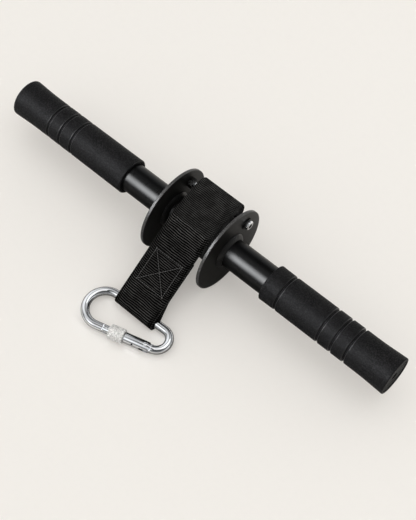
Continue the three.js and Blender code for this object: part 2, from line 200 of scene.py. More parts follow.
def ring(ends: Pair, radii: Pair, rounds: Pair, sides: int) -> Shape:
    """Turns a ring about X.

    Args:
        ends: Where it starts and ends along X.
        radii: The radius of its bore, then of its rim.
        rounds: How far the roundings of the bore's edges reach, then of the rim's edges.
        sides: The number of faces round the axis.

    Returns:
        The ring.
    """
    start, end = ends
    bore, rim = zip(radii, rounds)
    return turned(softened([(start, *bore), (start, *rim), (end, *rim), (end, *bore)]), sides)


def plug(start: float, end: float, radius: float, sides: int) -> Shape:
    """Turns a plain round plug about X, as a tool for a hole."""
    return turned([(start, 0), (start, radius), (end, radius), (end, 0)], sides)


def skin(rows: int, count: int) -> list[tuple[int, ...]]:
    """Joins rows of points, one after the other, into a tube with both ends closed.

    Args:
        rows: The number of rows.
        count: The number of points in a row.

    Returns:
        The faces.
    """
    faces: list[tuple[int, ...]] = []
    for start in range(0, (rows - 1) * count, count):
        for side in range(count):
            other = (side + 1) % count
            faces.append((start + side, start + other, start + count + other, start + count + side))
    last = (rows - 1) * count
    return faces + [tuple(range(count)), tuple(range(last, last + count))]


def outward(middle: list[Vector], index: int) -> Vector:
    """Gives the direction square to a line in two dimensions, at one of its points."""
    ahead = (middle[min(index + 1, len(middle) - 1)] - middle[max(index - 1, 0)]).normalized()
    return Vector((ahead.y, -ahead.x))


def prism(outline: Outline, low: float, high: float) -> Shape:
    """Draws an outline in the XY plane and carries it along Z.

    Args:
        outline: The corners, in order.
        low: Where it starts along Z.
        high: Where it ends along Z.

    Returns:
        The closed prism.
    """
    count = len(outline)
    points = [Vector((x, y, z)) for z in (low, high) for x, y in outline]
    sides = [(i, (i + 1) % count, count + (i + 1) % count, count + i) for i in range(count)]
    return Shape(points, [tuple(range(count)), tuple(range(count, 2 * count)), *sides])


def disc_outline(x: float, y: float, radius: float, sides: int) -> Outline:
    """Gives the corners of a regular polygon.

    Args:
        x: The centre's X.
        y: The centre's Y.
        radius: The distance from the centre to a corner.
        sides: The number of corners.

    Returns:
        The corners, in order.
    """
    angles = [2 * math.pi * side / sides for side in range(sides)]
    return [(x + radius * math.cos(angle), y + radius * math.sin(angle)) for angle in angles]


def hexagon(corner: float, low: float, high: float) -> Shape:
    """Draws a six-sided rod along X, by the distance from its middle to a corner."""
    return prism(disc_outline(0, 0, corner, 6), low, high).moved(Z_TO_X)


def box_outline(x0: float, x1: float, y0: float, y1: float) -> Outline:
    """Gives the corners of a rectangle between two opposite corners."""
    return [(x0, y0), (x1, y0), (x1, y1), (x0, y1)]


def arc(centre: Vector, radius: float, start: float, end: float, step: float) -> list[Vector]:
    """Gives points along an arc, both ends included.

    Args:
        centre: The arc's centre, in two dimensions.
        radius: The arc's radius.
        start: The angle that it starts at, in radians.
        end: The angle that it ends at, in radians.
        step: The greatest distance between two points.

    Returns:
        The points in order.
    """
    count = max(1, math.ceil(abs(end - start) * radius / step))
    angles = [start + (end - start) * index / count for index in range(count + 1)]
    return [centre + radius * Vector((math.cos(angle), math.sin(angle))) for angle in angles]


def line(start: Vector, end: Vector, step: float) -> list[Vector]:
    """Gives points along a straight line, without its first one.

    Args:
        start: Where the line starts.
        end: Where the line ends.
        step: The greatest distance between two points.

    Returns:
        The points in order.
    """
    count = max(1, math.ceil((end - start).length / step))
    return [start.lerp(end, index / count) for index in range(1, count + 1)]


# The workbench


def placed(name: str, data: Any) -> bpy.types.Object:
    """Puts a mesh, a lamp or a camera in the scene, as a new object.

    Args:
        name: The object's name.
        data: The mesh, lamp or camera.

    Returns:
        The new object.
    """
    thing = bpy.data.objects.new(name, data)
    bpy.context.scene.collection.objects.link(thing)
    return thing


class Workbench:
    def __init__(self) -> None:
        """Finds the bar's axis, which is the origin of all shapes."""
        low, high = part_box("bar_tube")
        self.placement = Matrix.Translation((low + high) / 2) @ Matrix.Scale(MM, 4)

    def span(self, node: str) -> tuple[Vector, Vector]:
        """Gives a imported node's box.

        Args:
            node: The node's name.

        Returns:
            Its lowest and highest corner, in millimetres in the bar's frame.
        """
        back = self.placement.inverted()
        low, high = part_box(node)
        return back @ low, back @ high

    def blank(self, name: str, shape: Shape) -> bpy.types.Object:
        """Makes an object of a shape, in metres and with its faces pointing outwards.

        Args:
            name: The object's name.
            shape: What it is made of.

        Returns:
            The new object, in the scene.
        """
        mesh = bpy.data.meshes.new(name)
        mesh.from_pydata([self.placement @ point for point in shape.points], [], shape.faces)
        for label, numbers in shape.values.items():
            mesh.attributes.new(label, "FLOAT", "POINT").data.foreach_set("value", numbers)
        work = bmesh.new()
        work.from_mesh(mesh)
        bmesh.ops.remove_doubles(work, verts=work.verts, dist=TOUCH * MM)
        bmesh.ops.recalc_face_normals(work, faces=work.faces)
        work.to_mesh(mesh)
        work.free()
        return placed(name, mesh)

    def settle(self, piece: bpy.types.Object) -> None:
        """Turns a piece with its modifiers into a plain mesh.

        Args:
            piece: The piece, whose modifiers are removed.
        """
        graph = bpy.context.evaluated_depsgraph_get()
        mesh = bpy.data.meshes.new_from_object(
            piece.evaluated_get(graph), preserve_all_data_layers=True, depsgraph=graph
        )
        piece.modifiers.clear()
        piece.data = mesh
        mesh.name = piece.name

    def work(self, piece: bpy.types.Object, kind: Boolean, tools: Iterable[Shape]) -> None:
        """Cuts tools out of a piece, joins them to it, or keeps only what lies in them.

        Args:
            piece: The piece to work on.
            kind: What the tools do.
            tools: The tools' shapes.
        """
        helpers = []
        for tool in tools:
            helper = self.blank(piece.name + "_tool", tool)
            modifier = piece.modifiers.new("tool", "BOOLEAN")
            modifier.operation = kind.value
            modifier.solver = "MANIFOLD"
            modifier.object = helper
            helpers.append(helper)
        self.settle(piece)
        for helper in helpers:
            bpy.data.objects.remove(helper)

    def dress(
        self,
        piece: bpy.types.Object,
        finish: Finish,
        body: Body,
        replaces: str = "",
        sharp: float = 35.0,
    ) -> None:
        """Gives a piece its finish and its body.

        Args:
            piece: The piece, with its final shape.
            finish: Its finish.
            body: The body that it rides on.
            replaces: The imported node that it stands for, where there is one.
            sharp: The angle in degrees past which an edge stays sharp.
        """
        mesh = piece.data
        mesh.shade_smooth()
        mesh.set_sharp_from_angle(angle=math.radians(sharp))
        mesh.materials.clear()
        mesh.materials.append(finish.material())
        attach(piece, body.value)
        if replaces:
            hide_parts(replaces)
        log.info("%s: %d faces, rides on %s", piece.name, len(mesh.polygons), body.value)

    def make(self, name: str, shape: Shape, finish: Finish, body: Body) -> None:
        """Makes a piece straight from its shape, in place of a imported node.

        Args:
            name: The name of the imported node.
            shape: Its finer shape.
            finish: Its finish.
            body: The body that it rides on.
        """
        self.dress(self.blank(name + "_fine", shape), finish, body, replaces=name)


# Node trees


class NodeBench:
    """Adds nodes to one tree and links them."""

    column_width: int = 200
    mix_inputs: tuple[int, int, int] = (0, 6, 7)
    mix_output: int = 2

    def __init__(self, tree: bpy.types.NodeTree) -> None:
        """Takes the tree to work on."""
        self.tree = tree
        self.column = 0

    def feed(self, socket: bpy.types.NodeSocket, value: Any) -> None:
        """Links another node's socket to an input, or sets the input to a value.

        Args:
            socket: The input.
            value: The other node's socket, or the value.
        """
        if isinstance(value, bpy.types.NodeSocket):
            self.tree.links.new(value, socket)
        else:
            socket.default_value = value

    def add(self, kind: str, inputs: dict[Any, Any] | None = None, **settings: Any) -> bpy.types.Node:
        """Adds one node.

        Args:
            kind: The node's type name.
            inputs: Values or sockets for its inputs, by name or number.
            settings: The node's own settings.

        Returns:
            The new node.
        """
        node = self.tree.nodes.new(kind)
        node.location = (self.column_width * self.column, 0)
        self.column += 1
        for name, value in settings.items():
            setattr(node, name, value)
        for name, value in (inputs or {}).items():
            self.feed(node.inputs[name], value)
        return node

    def attribute(self, name: str) -> bpy.types.NodeSocket:
        """Reads one of the piece's named values, in a material."""
        return self.add("ShaderNodeAttribute", attribute_name=name).outputs["Fac"]

    def value(self, name: str) -> bpy.types.NodeSocket:
        """Reads one of the piece's named values, in a geometry tree."""
        return self.add("GeometryNodeInputNamedAttribute", {"Name": name}, data_type="FLOAT").outputs[0]

    def math(self, operation: str, first: Any, second: Any = 0.0) -> bpy.types.NodeSocket:
        """Adds a sum of one or two values.

        Args:
            operation: The name of the sum.
            first: The first value or socket.
            second: The second value or socket.

        Returns:
            The socket with the result.
        """
        return self.add("ShaderNodeMath", {0: first, 1: second}, operation=operation).outputs[0]

    def ramp(self, share: Any, low: float, high: float, start: float, end: float) -> bpy.types.NodeSocket:
        """Carries a value from one range to another, held at its ends.

        Args:
            share: The value's socket.
            low: The value's own start.
            high: The value's own end.
            start: What the start becomes.
            end: What the end becomes.

        Returns:
            The socket with the result.
        """
        numbers = {"Value": share, "From Min": low, "From Max": high, "To Min": start, "To Max": end}
        return self.add("ShaderNodeMapRange", numbers).outputs["Result"]

    def blend(self, share: Any, first: Any, second: Any) -> bpy.types.NodeSocket:
        """Mixes two colours.

        Args:
            share: How much of the second colour there is.
            first: The first colour or socket.
            second: The second colour or socket.

        Returns:
            The socket with the colour.
        """
        inputs = dict(zip(self.mix_inputs, (share, first, second)))
        return self.add("ShaderNodeMix", inputs, data_type="RGBA").outputs[self.mix_output]

    def sunk(self, geometry: bpy.types.NodeSocket, depth: bpy.types.NodeSocket) -> bpy.types.NodeSocket:
        """Presses a surface in, against its normals.

        Args:
            geometry: The socket with the surface.
            depth: How deep each point goes.

        Returns:
            The socket with the pressed surface.
        """
        normal = self.add("GeometryNodeInputNormal").outputs[0]
        inputs = {0: normal, "Scale": self.math("MULTIPLY", depth, -1.0)}
        sink = self.add("ShaderNodeVectorMath", inputs, operation="SCALE").outputs[0]
        return self.add("GeometryNodeSetPosition", {0: geometry, "Offset": sink}).outputs[0]


class Recipe:
    """A geometry node tree with named inputs, which is put on a piece and settled into its mesh."""

    def __init__(self, name: str, sizes: Sequence[str], counts: Sequence[str] = ()) -> None:
        """Starts the tree.

        Args:
            name: The tree's name.
            sizes: The names of its inputs that are sizes or shares.
            counts: The names of its inputs that are whole numbers.
        """
        self.name = name
        self.tree = bpy.data.node_groups.new(name, "GeometryNodeTree")
        face = self.tree.interface
        face.new_socket("Geometry", in_out="INPUT", socket_type="NodeSocketGeometry")
        face.new_socket("Geometry", in_out="OUTPUT", socket_type="NodeSocketGeometry")
        for label in sizes:
            face.new_socket(label, in_out="INPUT", socket_type="NodeSocketFloat")
        for label in counts:
            face.new_socket(label, in_out="INPUT", socket_type="NodeSocketInt")
        face.new_socket("Finish", in_out="INPUT", socket_type="NodeSocketMaterial")
        self.bench = NodeBench(self.tree)
        self.given = self.bench.add("NodeGroupInput").outputs

    def close(self, geometry: bpy.types.NodeSocket) -> None:
        """Ends the tree: real geometry, with its material.

        Args:
            geometry: The socket with everything that was made.
        """
        real = self.bench.add("GeometryNodeRealizeInstances", {0: geometry}).outputs[0]
        dressed = self.bench.add("GeometryNodeSetMaterial", {0: real, "Material": self.given["Finish"]})
        self.bench.add("NodeGroupOutput", {0: dressed.outputs[0]})

    def use(self, bench: Workbench, piece: bpy.types.Object, finish: Finish, **values: Any) -> None:
        """Puts the tree on a piece and settles it.

        Args:
            bench: The workbench.
            piece: The piece.
            finish: The material for all that the tree makes.
            values: The inputs by name, with underscores for spaces.
        """
        modifier = piece.modifiers.new(self.name, "NODES")
        modifier.node_group = self.tree
        values["Finish"] = finish.material()
        wanted = {label.replace("_", " "): value for label, value in values.items()}
        for item in self.tree.interface.items_tree:
            if item.in_out == "INPUT" and item.name in wanted:
                modifier[item.identifier] = wanted[item.name]
        bench.settle(piece)


def rib_recipe() -> Recipe:
    """Makes the tree that presses the cross ribs into webbing.

    Returns:
        The recipe, with the ribs' pitch, depth, sharpness and waver, the selvedge's place, slant and seam,
        and the waver's seed as inputs.
    """
    sizes = ("Rib Pitch", "Rib Depth", "Sharpness", "Waver", "Waver Scale", "Selvedge", "Slant", "Seam")
    recipe = Recipe("webbing_ribs", sizes, ("Seed",))
    bench, given = recipe.bench, recipe.given
    share = bench.value("ribbed")
    place = bench.add("GeometryNodeInputPosition").outputs[0]
    spots = {"Vector": place, "W": given["Seed"], "Scale": given["Waver Scale"]}
    noise = bench.add("ShaderNodeTexNoise", spots, noise_dimensions="4D").outputs[0]
    wandering = bench.math("MULTIPLY", bench.math("SUBTRACT", noise, 0.5), given["Waver"])
    beyond = bench.math("SUBTRACT", bench.math("ABSOLUTE", bench.value("across")), given["Selvedge"])
    slanted = bench.math("MULTIPLY", bench.math("MAXIMUM", beyond, 0.0), given["Slant"])
    travelled = bench.math("ADD", bench.value("along"), bench.math("ADD", wandering, slanted))
    turns = bench.math("DIVIDE", travelled, given["Rib Pitch"])
    wave = bench.math("ABSOLUTE", bench.math("SINE", bench.math("MULTIPLY", turns, math.pi)))
    rib = bench.math("SUBTRACT", 1.0, bench.math("POWER", wave, given["Sharpness"]))
    seam = bench.ramp(bench.math("ABSOLUTE", beyond), 0.0, given["Seam"], 1.0, 0.0)
    groove = bench.math("MAXIMUM", rib, seam)
    depth = bench.math("MULTIPLY", groove, bench.math("MULTIPLY", given["Rib Depth"], share))
    # The groove share is kept for the painted shade in the webbing's rib grooves.
    shaded = {0: given["Geometry"], "Name": "groove", "Value": bench.math("MULTIPLY", groove, share)}
    marked = bench.add("GeometryNodeStoreNamedAttribute", shaded, data_type="FLOAT").outputs[0]
    recipe.close(bench.sunk(marked, depth))
    return recipe


def stitch_recipe() -> Recipe:
    """Makes the tree that lays stitches along the edges of a line mesh.

    Returns:
        The recipe, with the thread's radius and the stitches' pitch and length as inputs.
    """
    recipe = Recipe("stitches", ("Pitch", "Length", "Thread Radius"))
    bench, given = recipe.bench, recipe.given
    seam = bench.add("GeometryNodeMeshToCurve", {0: given["Geometry"]}).outputs[0]
    spots = bench.add("GeometryNodeResampleCurve", {0: seam, "Length": given["Pitch"]}, mode="LENGTH")
    tangent = bench.add("GeometryNodeInputTangent").outputs[0]
    lay = bench.add("FunctionNodeAlignRotationToVector", {"Vector": tangent}, axis="X").outputs[0]
    ball = bench.add("GeometryNodeMeshUVSphere", {"Segments": 8, "Rings": 6, "Radius": 1.0}).outputs[0]
    half = bench.math("MULTIPLY", given["Length"], 0.5)
    radius = given["Thread Radius"]
    size = bench.add("ShaderNodeCombineXYZ", {0: half, 1: radius, 2: radius}).outputs[0]
    stitch = bench.add("GeometryNodeTransform", {0: ball, "Scale": size}).outputs[0]
    laid = bench.add("GeometryNodeInstanceOnPoints",
                     {"Points": spots.outputs[0], "Instance": stitch, "Rotation": lay})
    recipe.close(laid.outputs[0])
    return recipe


def coil_recipe() -> Recipe:
    """Makes the tree of a round wire wound along Z: a spring, or the ridge of a thread.

    Returns:
        The recipe, with the coil's radius, length and turns, the wire's radius and sides, and the steps in
        a turn as inputs.
    """
    recipe = Recipe("coil", ("Coil Radius", "Coil Length", "Turns", "Wire Radius"), ("Sides", "Steps"))
    bench, given = recipe.bench, recipe.given
    spiral = bench.add("GeometryNodeCurveSpiral", {
        "Resolution": given["Steps"], "Rotations": given["Turns"], "Start Radius": given["Coil Radius"],
        "End Radius": given["Coil Radius"], "Height": given["Coil Length"]}).outputs[0]
    section = {"Resolution": given["Sides"], "Radius": given["Wire Radius"]}
    wire = bench.add("GeometryNodeCurvePrimitiveCircle", section).outputs[0]
    coil = bench.add("GeometryNodeCurveToMesh", {0: spiral, 1: wire, "Fill Caps": True})
    recipe.close(coil.outputs[0])
    return recipe


def knurl_recipe() -> Recipe:
    """Makes the tree that rolls a diamond knurl into a turned sleeve.

    Returns:
        The recipe, with the number of diamonds round the sleeve, their slant and depth as inputs.
    """
    recipe = Recipe("knurl", ("Diamonds", "Slant", "Depth"))
    bench, given = recipe.bench, recipe.given
    around = bench.math("MULTIPLY", bench.value("angle"), bench.math("MULTIPLY", given["Diamonds"], 0.5))
    slanted = bench.math("MULTIPLY", bench.value("along"), given["Slant"])
    left = bench.math("ABSOLUTE", bench.math("SINE", bench.math("ADD", around, slanted)))
    right = bench.math("ABSOLUTE", bench.math("SINE", bench.math("SUBTRACT", around, slanted)))
    groove = bench.math("SUBTRACT", 1.0, bench.math("MINIMUM", left, right))
    depth = bench.math("MULTIPLY", bench.math("MULTIPLY", groove, given["Depth"]), bench.value("knurled"))
    recipe.close(bench.sunk(given["Geometry"], depth))
    return recipe


# Finishes


@dataclass(frozen=True)
class Finish:
    """A surface: its colours, its gloss and the grain that breaks them up.

    Sizes are in millimetres. A pair of limits says between which levels of a noise one look turns into
    the other.
    """

    name: str
    slot: str
    color: Color
    second: Color
    roughness: float
    spread: float
    grain: float
    relief: float
    metallic: float = 0.0
    specular: float = 0.5
    coat_roughness: float = 0.3
    patch_grains: float = 12.0
    patch_limits: Pair = (0.35, 0.7)
    rough_limits: Pair = (0.3, 0.7)
    fine_detail: float = 3.0
    patch_detail: float = 2.0

    def material(self) -> bpy.types.Material:
        """Gives the finish's material, which is made at its first use."""
        found = bpy.data.materials.get(self.name)
        return found if found else self.build()

    def build(self) -> bpy.types.Material:
        """Makes the material.

        Returns:
            The new material.
        """
        material = bpy.data.materials.new(self.name)
        material.use_nodes = True
        material.node_tree.nodes.clear()
        bench = NodeBench(material.node_tree)
        place = bench.add("ShaderNodeTexCoord").outputs["Object"]
        color, rough, height = self.surface(bench, place)
        bump = bench.add("ShaderNodeBump", {"Height": height, "Distance": self.relief * MM, "Strength": 1.0})
        shader = bench.add("ShaderNodeBsdfPrincipled", {
            "Base Color": color, "Roughness": rough, "Normal": bump.outputs[0], "Metallic": self.metallic,
            "Specular IOR Level": self.specular, "Coat Weight": self.coat(bench),
            "Coat Roughness": self.coat_roughness})
        bench.add("ShaderNodeOutputMaterial", {"Surface": shader.outputs[0]})
        return material

    def coat(self, bench: NodeBench) -> Any:
        """Gives the share of the surface that is polished."""
        return 0.0

    def noise(self, bench: NodeBench, place: Any, size: float, detail: float) -> bpy.types.NodeSocket:
        """Adds a noise.

        Args:
            bench: The material's nodes.
            place: The coordinates' socket.
            size: The size of its grains.
            detail: How many finer layers it has.

        Returns:
            The socket with its value from 0 to 1.
        """
        values = {"Vector": place, "Scale": 1 / (size * MM), "Detail": detail}
        return bench.add("ShaderNodeTexNoise", values).outputs[0]

    def surface(self, bench: NodeBench, place: Any) -> tuple[Any, Any, Any]:
        """Adds what makes the colour, the roughness and the height of the surface.

        Args:
            bench: The material's nodes.
            place: The socket with the piece's own coordinates.

        Returns:
            The sockets or values of the colour, the roughness and the height.
        """
        fine = self.noise(bench, place, self.grain, self.fine_detail)
        broad = self.noise(bench, place, self.patch_grains * self.grain, self.patch_detail)
        color = bench.blend(bench.ramp(broad, *self.patch_limits, 0.0, 1.0), self.color, self.second)
        if not self.spread:
            return color, self.roughness, fine
        ends = (self.roughness - self.spread, self.roughness + self.spread)
        return color, bench.ramp(broad, *self.rough_limits, *ends), fine


@dataclass(frozen=True)
class MouldedRubber(Finish):
    """Matte rubber with pores and a mottled skin."""

    mottle: float = 1.3
    mottle_detail: float = 4.0
    mottle_limits: Pair = (0.42, 0.68)
    least_mottle: float = 0.2
    pore_height: float = 0.7
    polish: float = 0.8

    def coat(self, bench: NodeBench) -> Any:
        """Gives the share of the surface that is polished, which is high at the lips of the grooves."""
        return bench.math("MULTIPLY", bench.attribute("polished"), self.polish)

    def surface(self, bench: NodeBench, place: Any) -> tuple[Any, Any, Any]:
        """Adds the pores and the mottled skin.

        Args:
            bench: The material's nodes.
            place: The socket with the piece's own coordinates.

        Returns:
            The sockets of the colour, the roughness and the height.
        """
        pores = bench.add("ShaderNodeTexVoronoi", {"Vector": place, "Scale": 1 / (self.grain * MM)})
        mottled = self.noise(bench, place, self.mottle, self.mottle_detail)
        fine = self.noise(bench, place, self.grain / 2, self.fine_detail)
        broken = bench.ramp(fine, *self.rough_limits, self.least_mottle, 1.0)
        worn = bench.math("MULTIPLY", bench.ramp(mottled, *self.mottle_limits, 0.0, 1.0), broken)
        ends = (self.roughness + self.spread, self.roughness - self.spread)
        rough = bench.ramp(mottled, *self.rough_limits, *ends)
        pitted = bench.math("MULTIPLY", pores.outputs["Distance"], self.pore_height)
        return bench.blend(worn, self.color, self.second), rough, bench.math("ADD", pitted, fine)


@dataclass(frozen=True)
class WovenWebbing(Finish):
    """Woven webbing: slanted yarns crossed by finer threads, which follow the strip.

    Factors multiply the yarns' colour: random patches of tone, and painted shade on the winding, on the
    sewn half of the run and along the seams. The rib grooves get painted shade, near black.
    """

    yarn: float = 0.55
    yarn_slant: float = 0.55
    thread_height: float = 0.35
    fuzz_limits: Pair = (0.3, 0.75)
    fuzz_shades: Pair = (0.25, 0.9)
    fuzz_height: float = 0.6
    patch: float = 9.0
    patch_limits: Pair = (0.38, 0.62)
    patch_shade: float = 0.55
    # Painted shade: the winding faces up, and its colour is darkened.
    wound_painted_shade_limits: Pair = (0.4, 0.9)
    wound_painted_shade: float = 0.33
    # Painted shade: the run darkens between 60 and 85 mm along it, towards its loop.
    loop_painted_shade_span: Pair = (60.0, 85.0)
    loop_painted_shade: float = 0.48
    # Painted shade in the rib grooves: its colour, and the groove shares where it starts and where it is
    # full.
    deep: Color = (0.0008, 0.0008, 0.0008, 1.0)
    ridge: float = 0.03
    edge: float = 0.2
    # Painted shade: the webbing darkens along the puckered seams.
    seam_painted_shade: float = 0.1

    def surface(self, bench: NodeBench, place: Any) -> tuple[Any, Any, Any]:
        """Adds the yarns and their fuzz.

        Args:
            bench: The material's nodes.
            place: The socket with the piece's own coordinates.

        Returns:
            The sockets of the colour, the roughness and the height.
        """
        along = bench.attribute("along")
        step = 2 * math.pi / self.yarn
        lean = bench.math("MULTIPLY", along, self.yarn_slant)
        slanted = bench.math("ADD", bench.attribute("across"), lean)
        yarns = bench.ramp(bench.math("SINE", bench.math("MULTIPLY", slanted, step)), -1.0, 1.0, 0.0, 1.0)
        threads = bench.math("SINE", bench.math("MULTIPLY", along, 2 * step))
        crossed = bench.math("ADD", yarns, bench.ramp(threads, -1.0, 1.0, 0.0, self.thread_height))
        fuzz = self.noise(bench, place, self.grain, self.fine_detail)
        patches = self.noise(bench, place, self.patch, self.patch_detail)
        shade = bench.math("MULTIPLY", crossed, bench.ramp(fuzz, *self.fuzz_limits, *self.fuzz_shades))
        shade = bench.math("MULTIPLY", shade, bench.ramp(patches, *self.patch_limits, self.patch_shade, 1.0))
        # Painted shade: the run is darkened towards its loop end.
        run_painted_shade = bench.ramp(along, *self.loop_painted_shade_span, 1.0, self.loop_painted_shade)
        # Painted shade: the winding is darkened by its share of the ribs.
        painted_part_shade = bench.ramp(bench.attribute("ribbed"), *self.wound_painted_shade_limits, self.wound_painted_shade, run_painted_shade)
        shade = bench.math("MULTIPLY", shade, painted_part_shade)
        # Painted shade: the rib grooves are darkened towards near black.
        outside_groove_shade = bench.ramp(bench.attribute("groove"), self.ridge, self.ridge + self.edge, 1.0, 0.0)
        color = bench.blend(bench.math("MULTIPLY", shade, outside_groove_shade), self.color, self.second)
        # Painted shade: the webbing is darkened along the puckered seams.
        seam = bench.ramp(bench.attribute("seam"), 0.0, 1.0, 1.0, self.seam_painted_shade)
        color = bench.blend(bench.math("MULTIPLY", outside_groove_shade, seam), self.deep, color)
        ends = (self.roughness - self.spread, self.roughness + self.spread)
        rough = bench.ramp(fuzz, *self.rough_limits, *ends)
        return color, rough, bench.math("ADD", crossed, bench.math("MULTIPLY", fuzz, self.fuzz_height))


@dataclass(frozen=True)
class PaintedDisc(Finish):
    """Coated steel plate whose rim is rubbed down to the steel in places."""

    rim: float = 47.0
    rim_edge: float = 0.1
    rub: float = 1.4
    rub_limits: Pair = (0.35, 0.65)
    least_rub: float = 0.3
    rub_share: float = 0.5
    steel: Color = (0.16, 0.16, 0.165, 1.0)

    def surface(self, bench: NodeBench, place: Any) -> tuple[Any, Any, Any]:
        """Adds the orange peel and the rubbed rim.

        Args:
            bench: The material's nodes.
            place: The socket with the piece's own coordinates.

        Returns:
            The sockets of the colour, the roughness and the height.
        """
        color, rough, peel = super().surface(bench, place)
        apart = bench.add("ShaderNodeSeparateXYZ", {0: place}).outputs
        axis = sum(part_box("bar_tube"), Vector()) / 2
        squared = [bench.math("POWER", bench.math("SUBTRACT", apart[i], axis[i]), 2.0) for i in (1, 2)]
        radius = bench.math("SQRT", bench.math("ADD", *squared))
        rubbed = bench.ramp(radius, (self.rim - self.rub) * MM, (self.rim - self.rim_edge) * MM, 0.0, 1.0)
        patchy = bench.math("MULTIPLY", rubbed, bench.ramp(peel, *self.rub_limits, self.least_rub, 1.0))
        return bench.blend(bench.math("MULTIPLY", patchy, self.rub_share), color, self.steel), rough, peel


BAR_PAINT = Finish(
    "bar_paint", "bar_steel", (0.001, 0.001, 0.0011, 1), (0.002, 0.002, 0.0022, 1),
    roughness=0.29, spread=0.02, grain=1.2, relief=0.006, specular=0.17)
DISC_PAINT = PaintedDisc(
    "disc_paint", "plate_steel", (0.004, 0.004, 0.004, 1), (0.008, 0.0077, 0.0073, 1),
    roughness=0.36, spread=0.03, grain=0.9, relief=0.015, specular=0.2)
WELD_PAINT = Finish(
    "weld_paint", "plate_steel", (0.003, 0.003, 0.003, 1), (0.006, 0.006, 0.006, 1),
    roughness=0.34, spread=0.05, grain=1.5, relief=0.05, specular=0.25)
GRIP_RUBBER = MouldedRubber(
    "grip_skin", "grip_rubber", (0.0045, 0.0045, 0.005, 1), (0.030, 0.030, 0.0315, 1),
    roughness=0.5, spread=0.1, grain=0.55, relief=0.15, specular=0.05)
WEBBING = WovenWebbing(
    "woven_webbing", "webbing", (0.007, 0.007, 0.007, 1), (0.37, 0.37, 0.373, 1),
    roughness=0.7, spread=0.1, grain=0.25, relief=0.1, specular=0.0)
THREAD = Finish(
    "sewing_thread", "webbing", (0.075, 0.075, 0.077, 1), (0.12, 0.12, 0.123, 1),
    roughness=0.6, spread=0.1, grain=0.3, relief=0.08, specular=0.02)
BLACK_OXIDE = Finish(
    "black_oxide", "black_hardware", (0.003, 0.003, 0.003, 1), (0.006, 0.0057, 0.0053, 1),
    roughness=0.38, spread=0.06, grain=0.6, relief=0.03, specular=0.2)
BRIGHT_STEEL = Finish(
    "polished_steel", "bright_steel", (0.86, 0.87, 0.885, 1), (0.93, 0.933, 0.94, 1),
    roughness=0.0, spread=0.0, grain=0.8, relief=0.001, metallic=1.0)
SLEEVE_STEEL = Finish(
    "sleeve_plating", "sleeve_alloy", (0.43, 0.43, 0.43, 1), (0.98, 0.98, 0.98, 1),
    roughness=0.6, spread=0.06, grain=0.11, relief=0.03, metallic=0.1, specular=0.06)


# Coils


@dataclass(frozen=True)
class Coil:
    """A round wire wound along X: a spring, or the ridge of a thread."""

    name: str
    radius: float
    wire: float
    turns: float
    start: float
    end: float
    steps: int = 36
    sides: int = 8

    def build(self, bench: Workbench, recipe: Recipe, place: Matrix, body: Body, replaces: str = "") -> None:
        """Winds the coil.

        Args:
            bench: The workbench.
            recipe: The recipe of coils.
            place: The placement of the line that it is wound on.
            body: The body that it rides on.
            replaces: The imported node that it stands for, where there is one.
        """
        piece = bench.blank(self.name, Shape())
        recipe.use(bench, piece, BRIGHT_STEEL, Coil_Radius=self.radius * MM,
                   Coil_Length=(self.end - self.start) * MM, Turns=self.turns, Wire_Radius=self.wire * MM,
                   Steps=self.steps, Sides=self.sides)
        move = place @ Matrix.Translation((self.start, 0, 0)) @ Z_TO_X
        piece.data.transform(bench.placement @ move @ Matrix.Scale(1 / MM, 4))
        bench.dress(piece, BRIGHT_STEEL, body, replaces=replaces)


# Bar, grips and spool


@dataclass
class Bar:
    """The steel tube through the grips and the spool."""

    wall: float = 2.0
    edge_round: float = 0.5
    sides: int = 128

    def build(self, bench: Workbench) -> None:
        """Makes the tube between the places that the frame gives.

        Args:
            bench: The workbench.
        """
        low, high = bench.span("bar_tube")
        radii = (high.z - self.wall, high.z)
        tube = ring((low.x, high.x), radii, (self.edge_round, self.edge_round), self.sides)
        bench.make("bar_tube", tube, BAR_PAINT, Body.ROLLER)


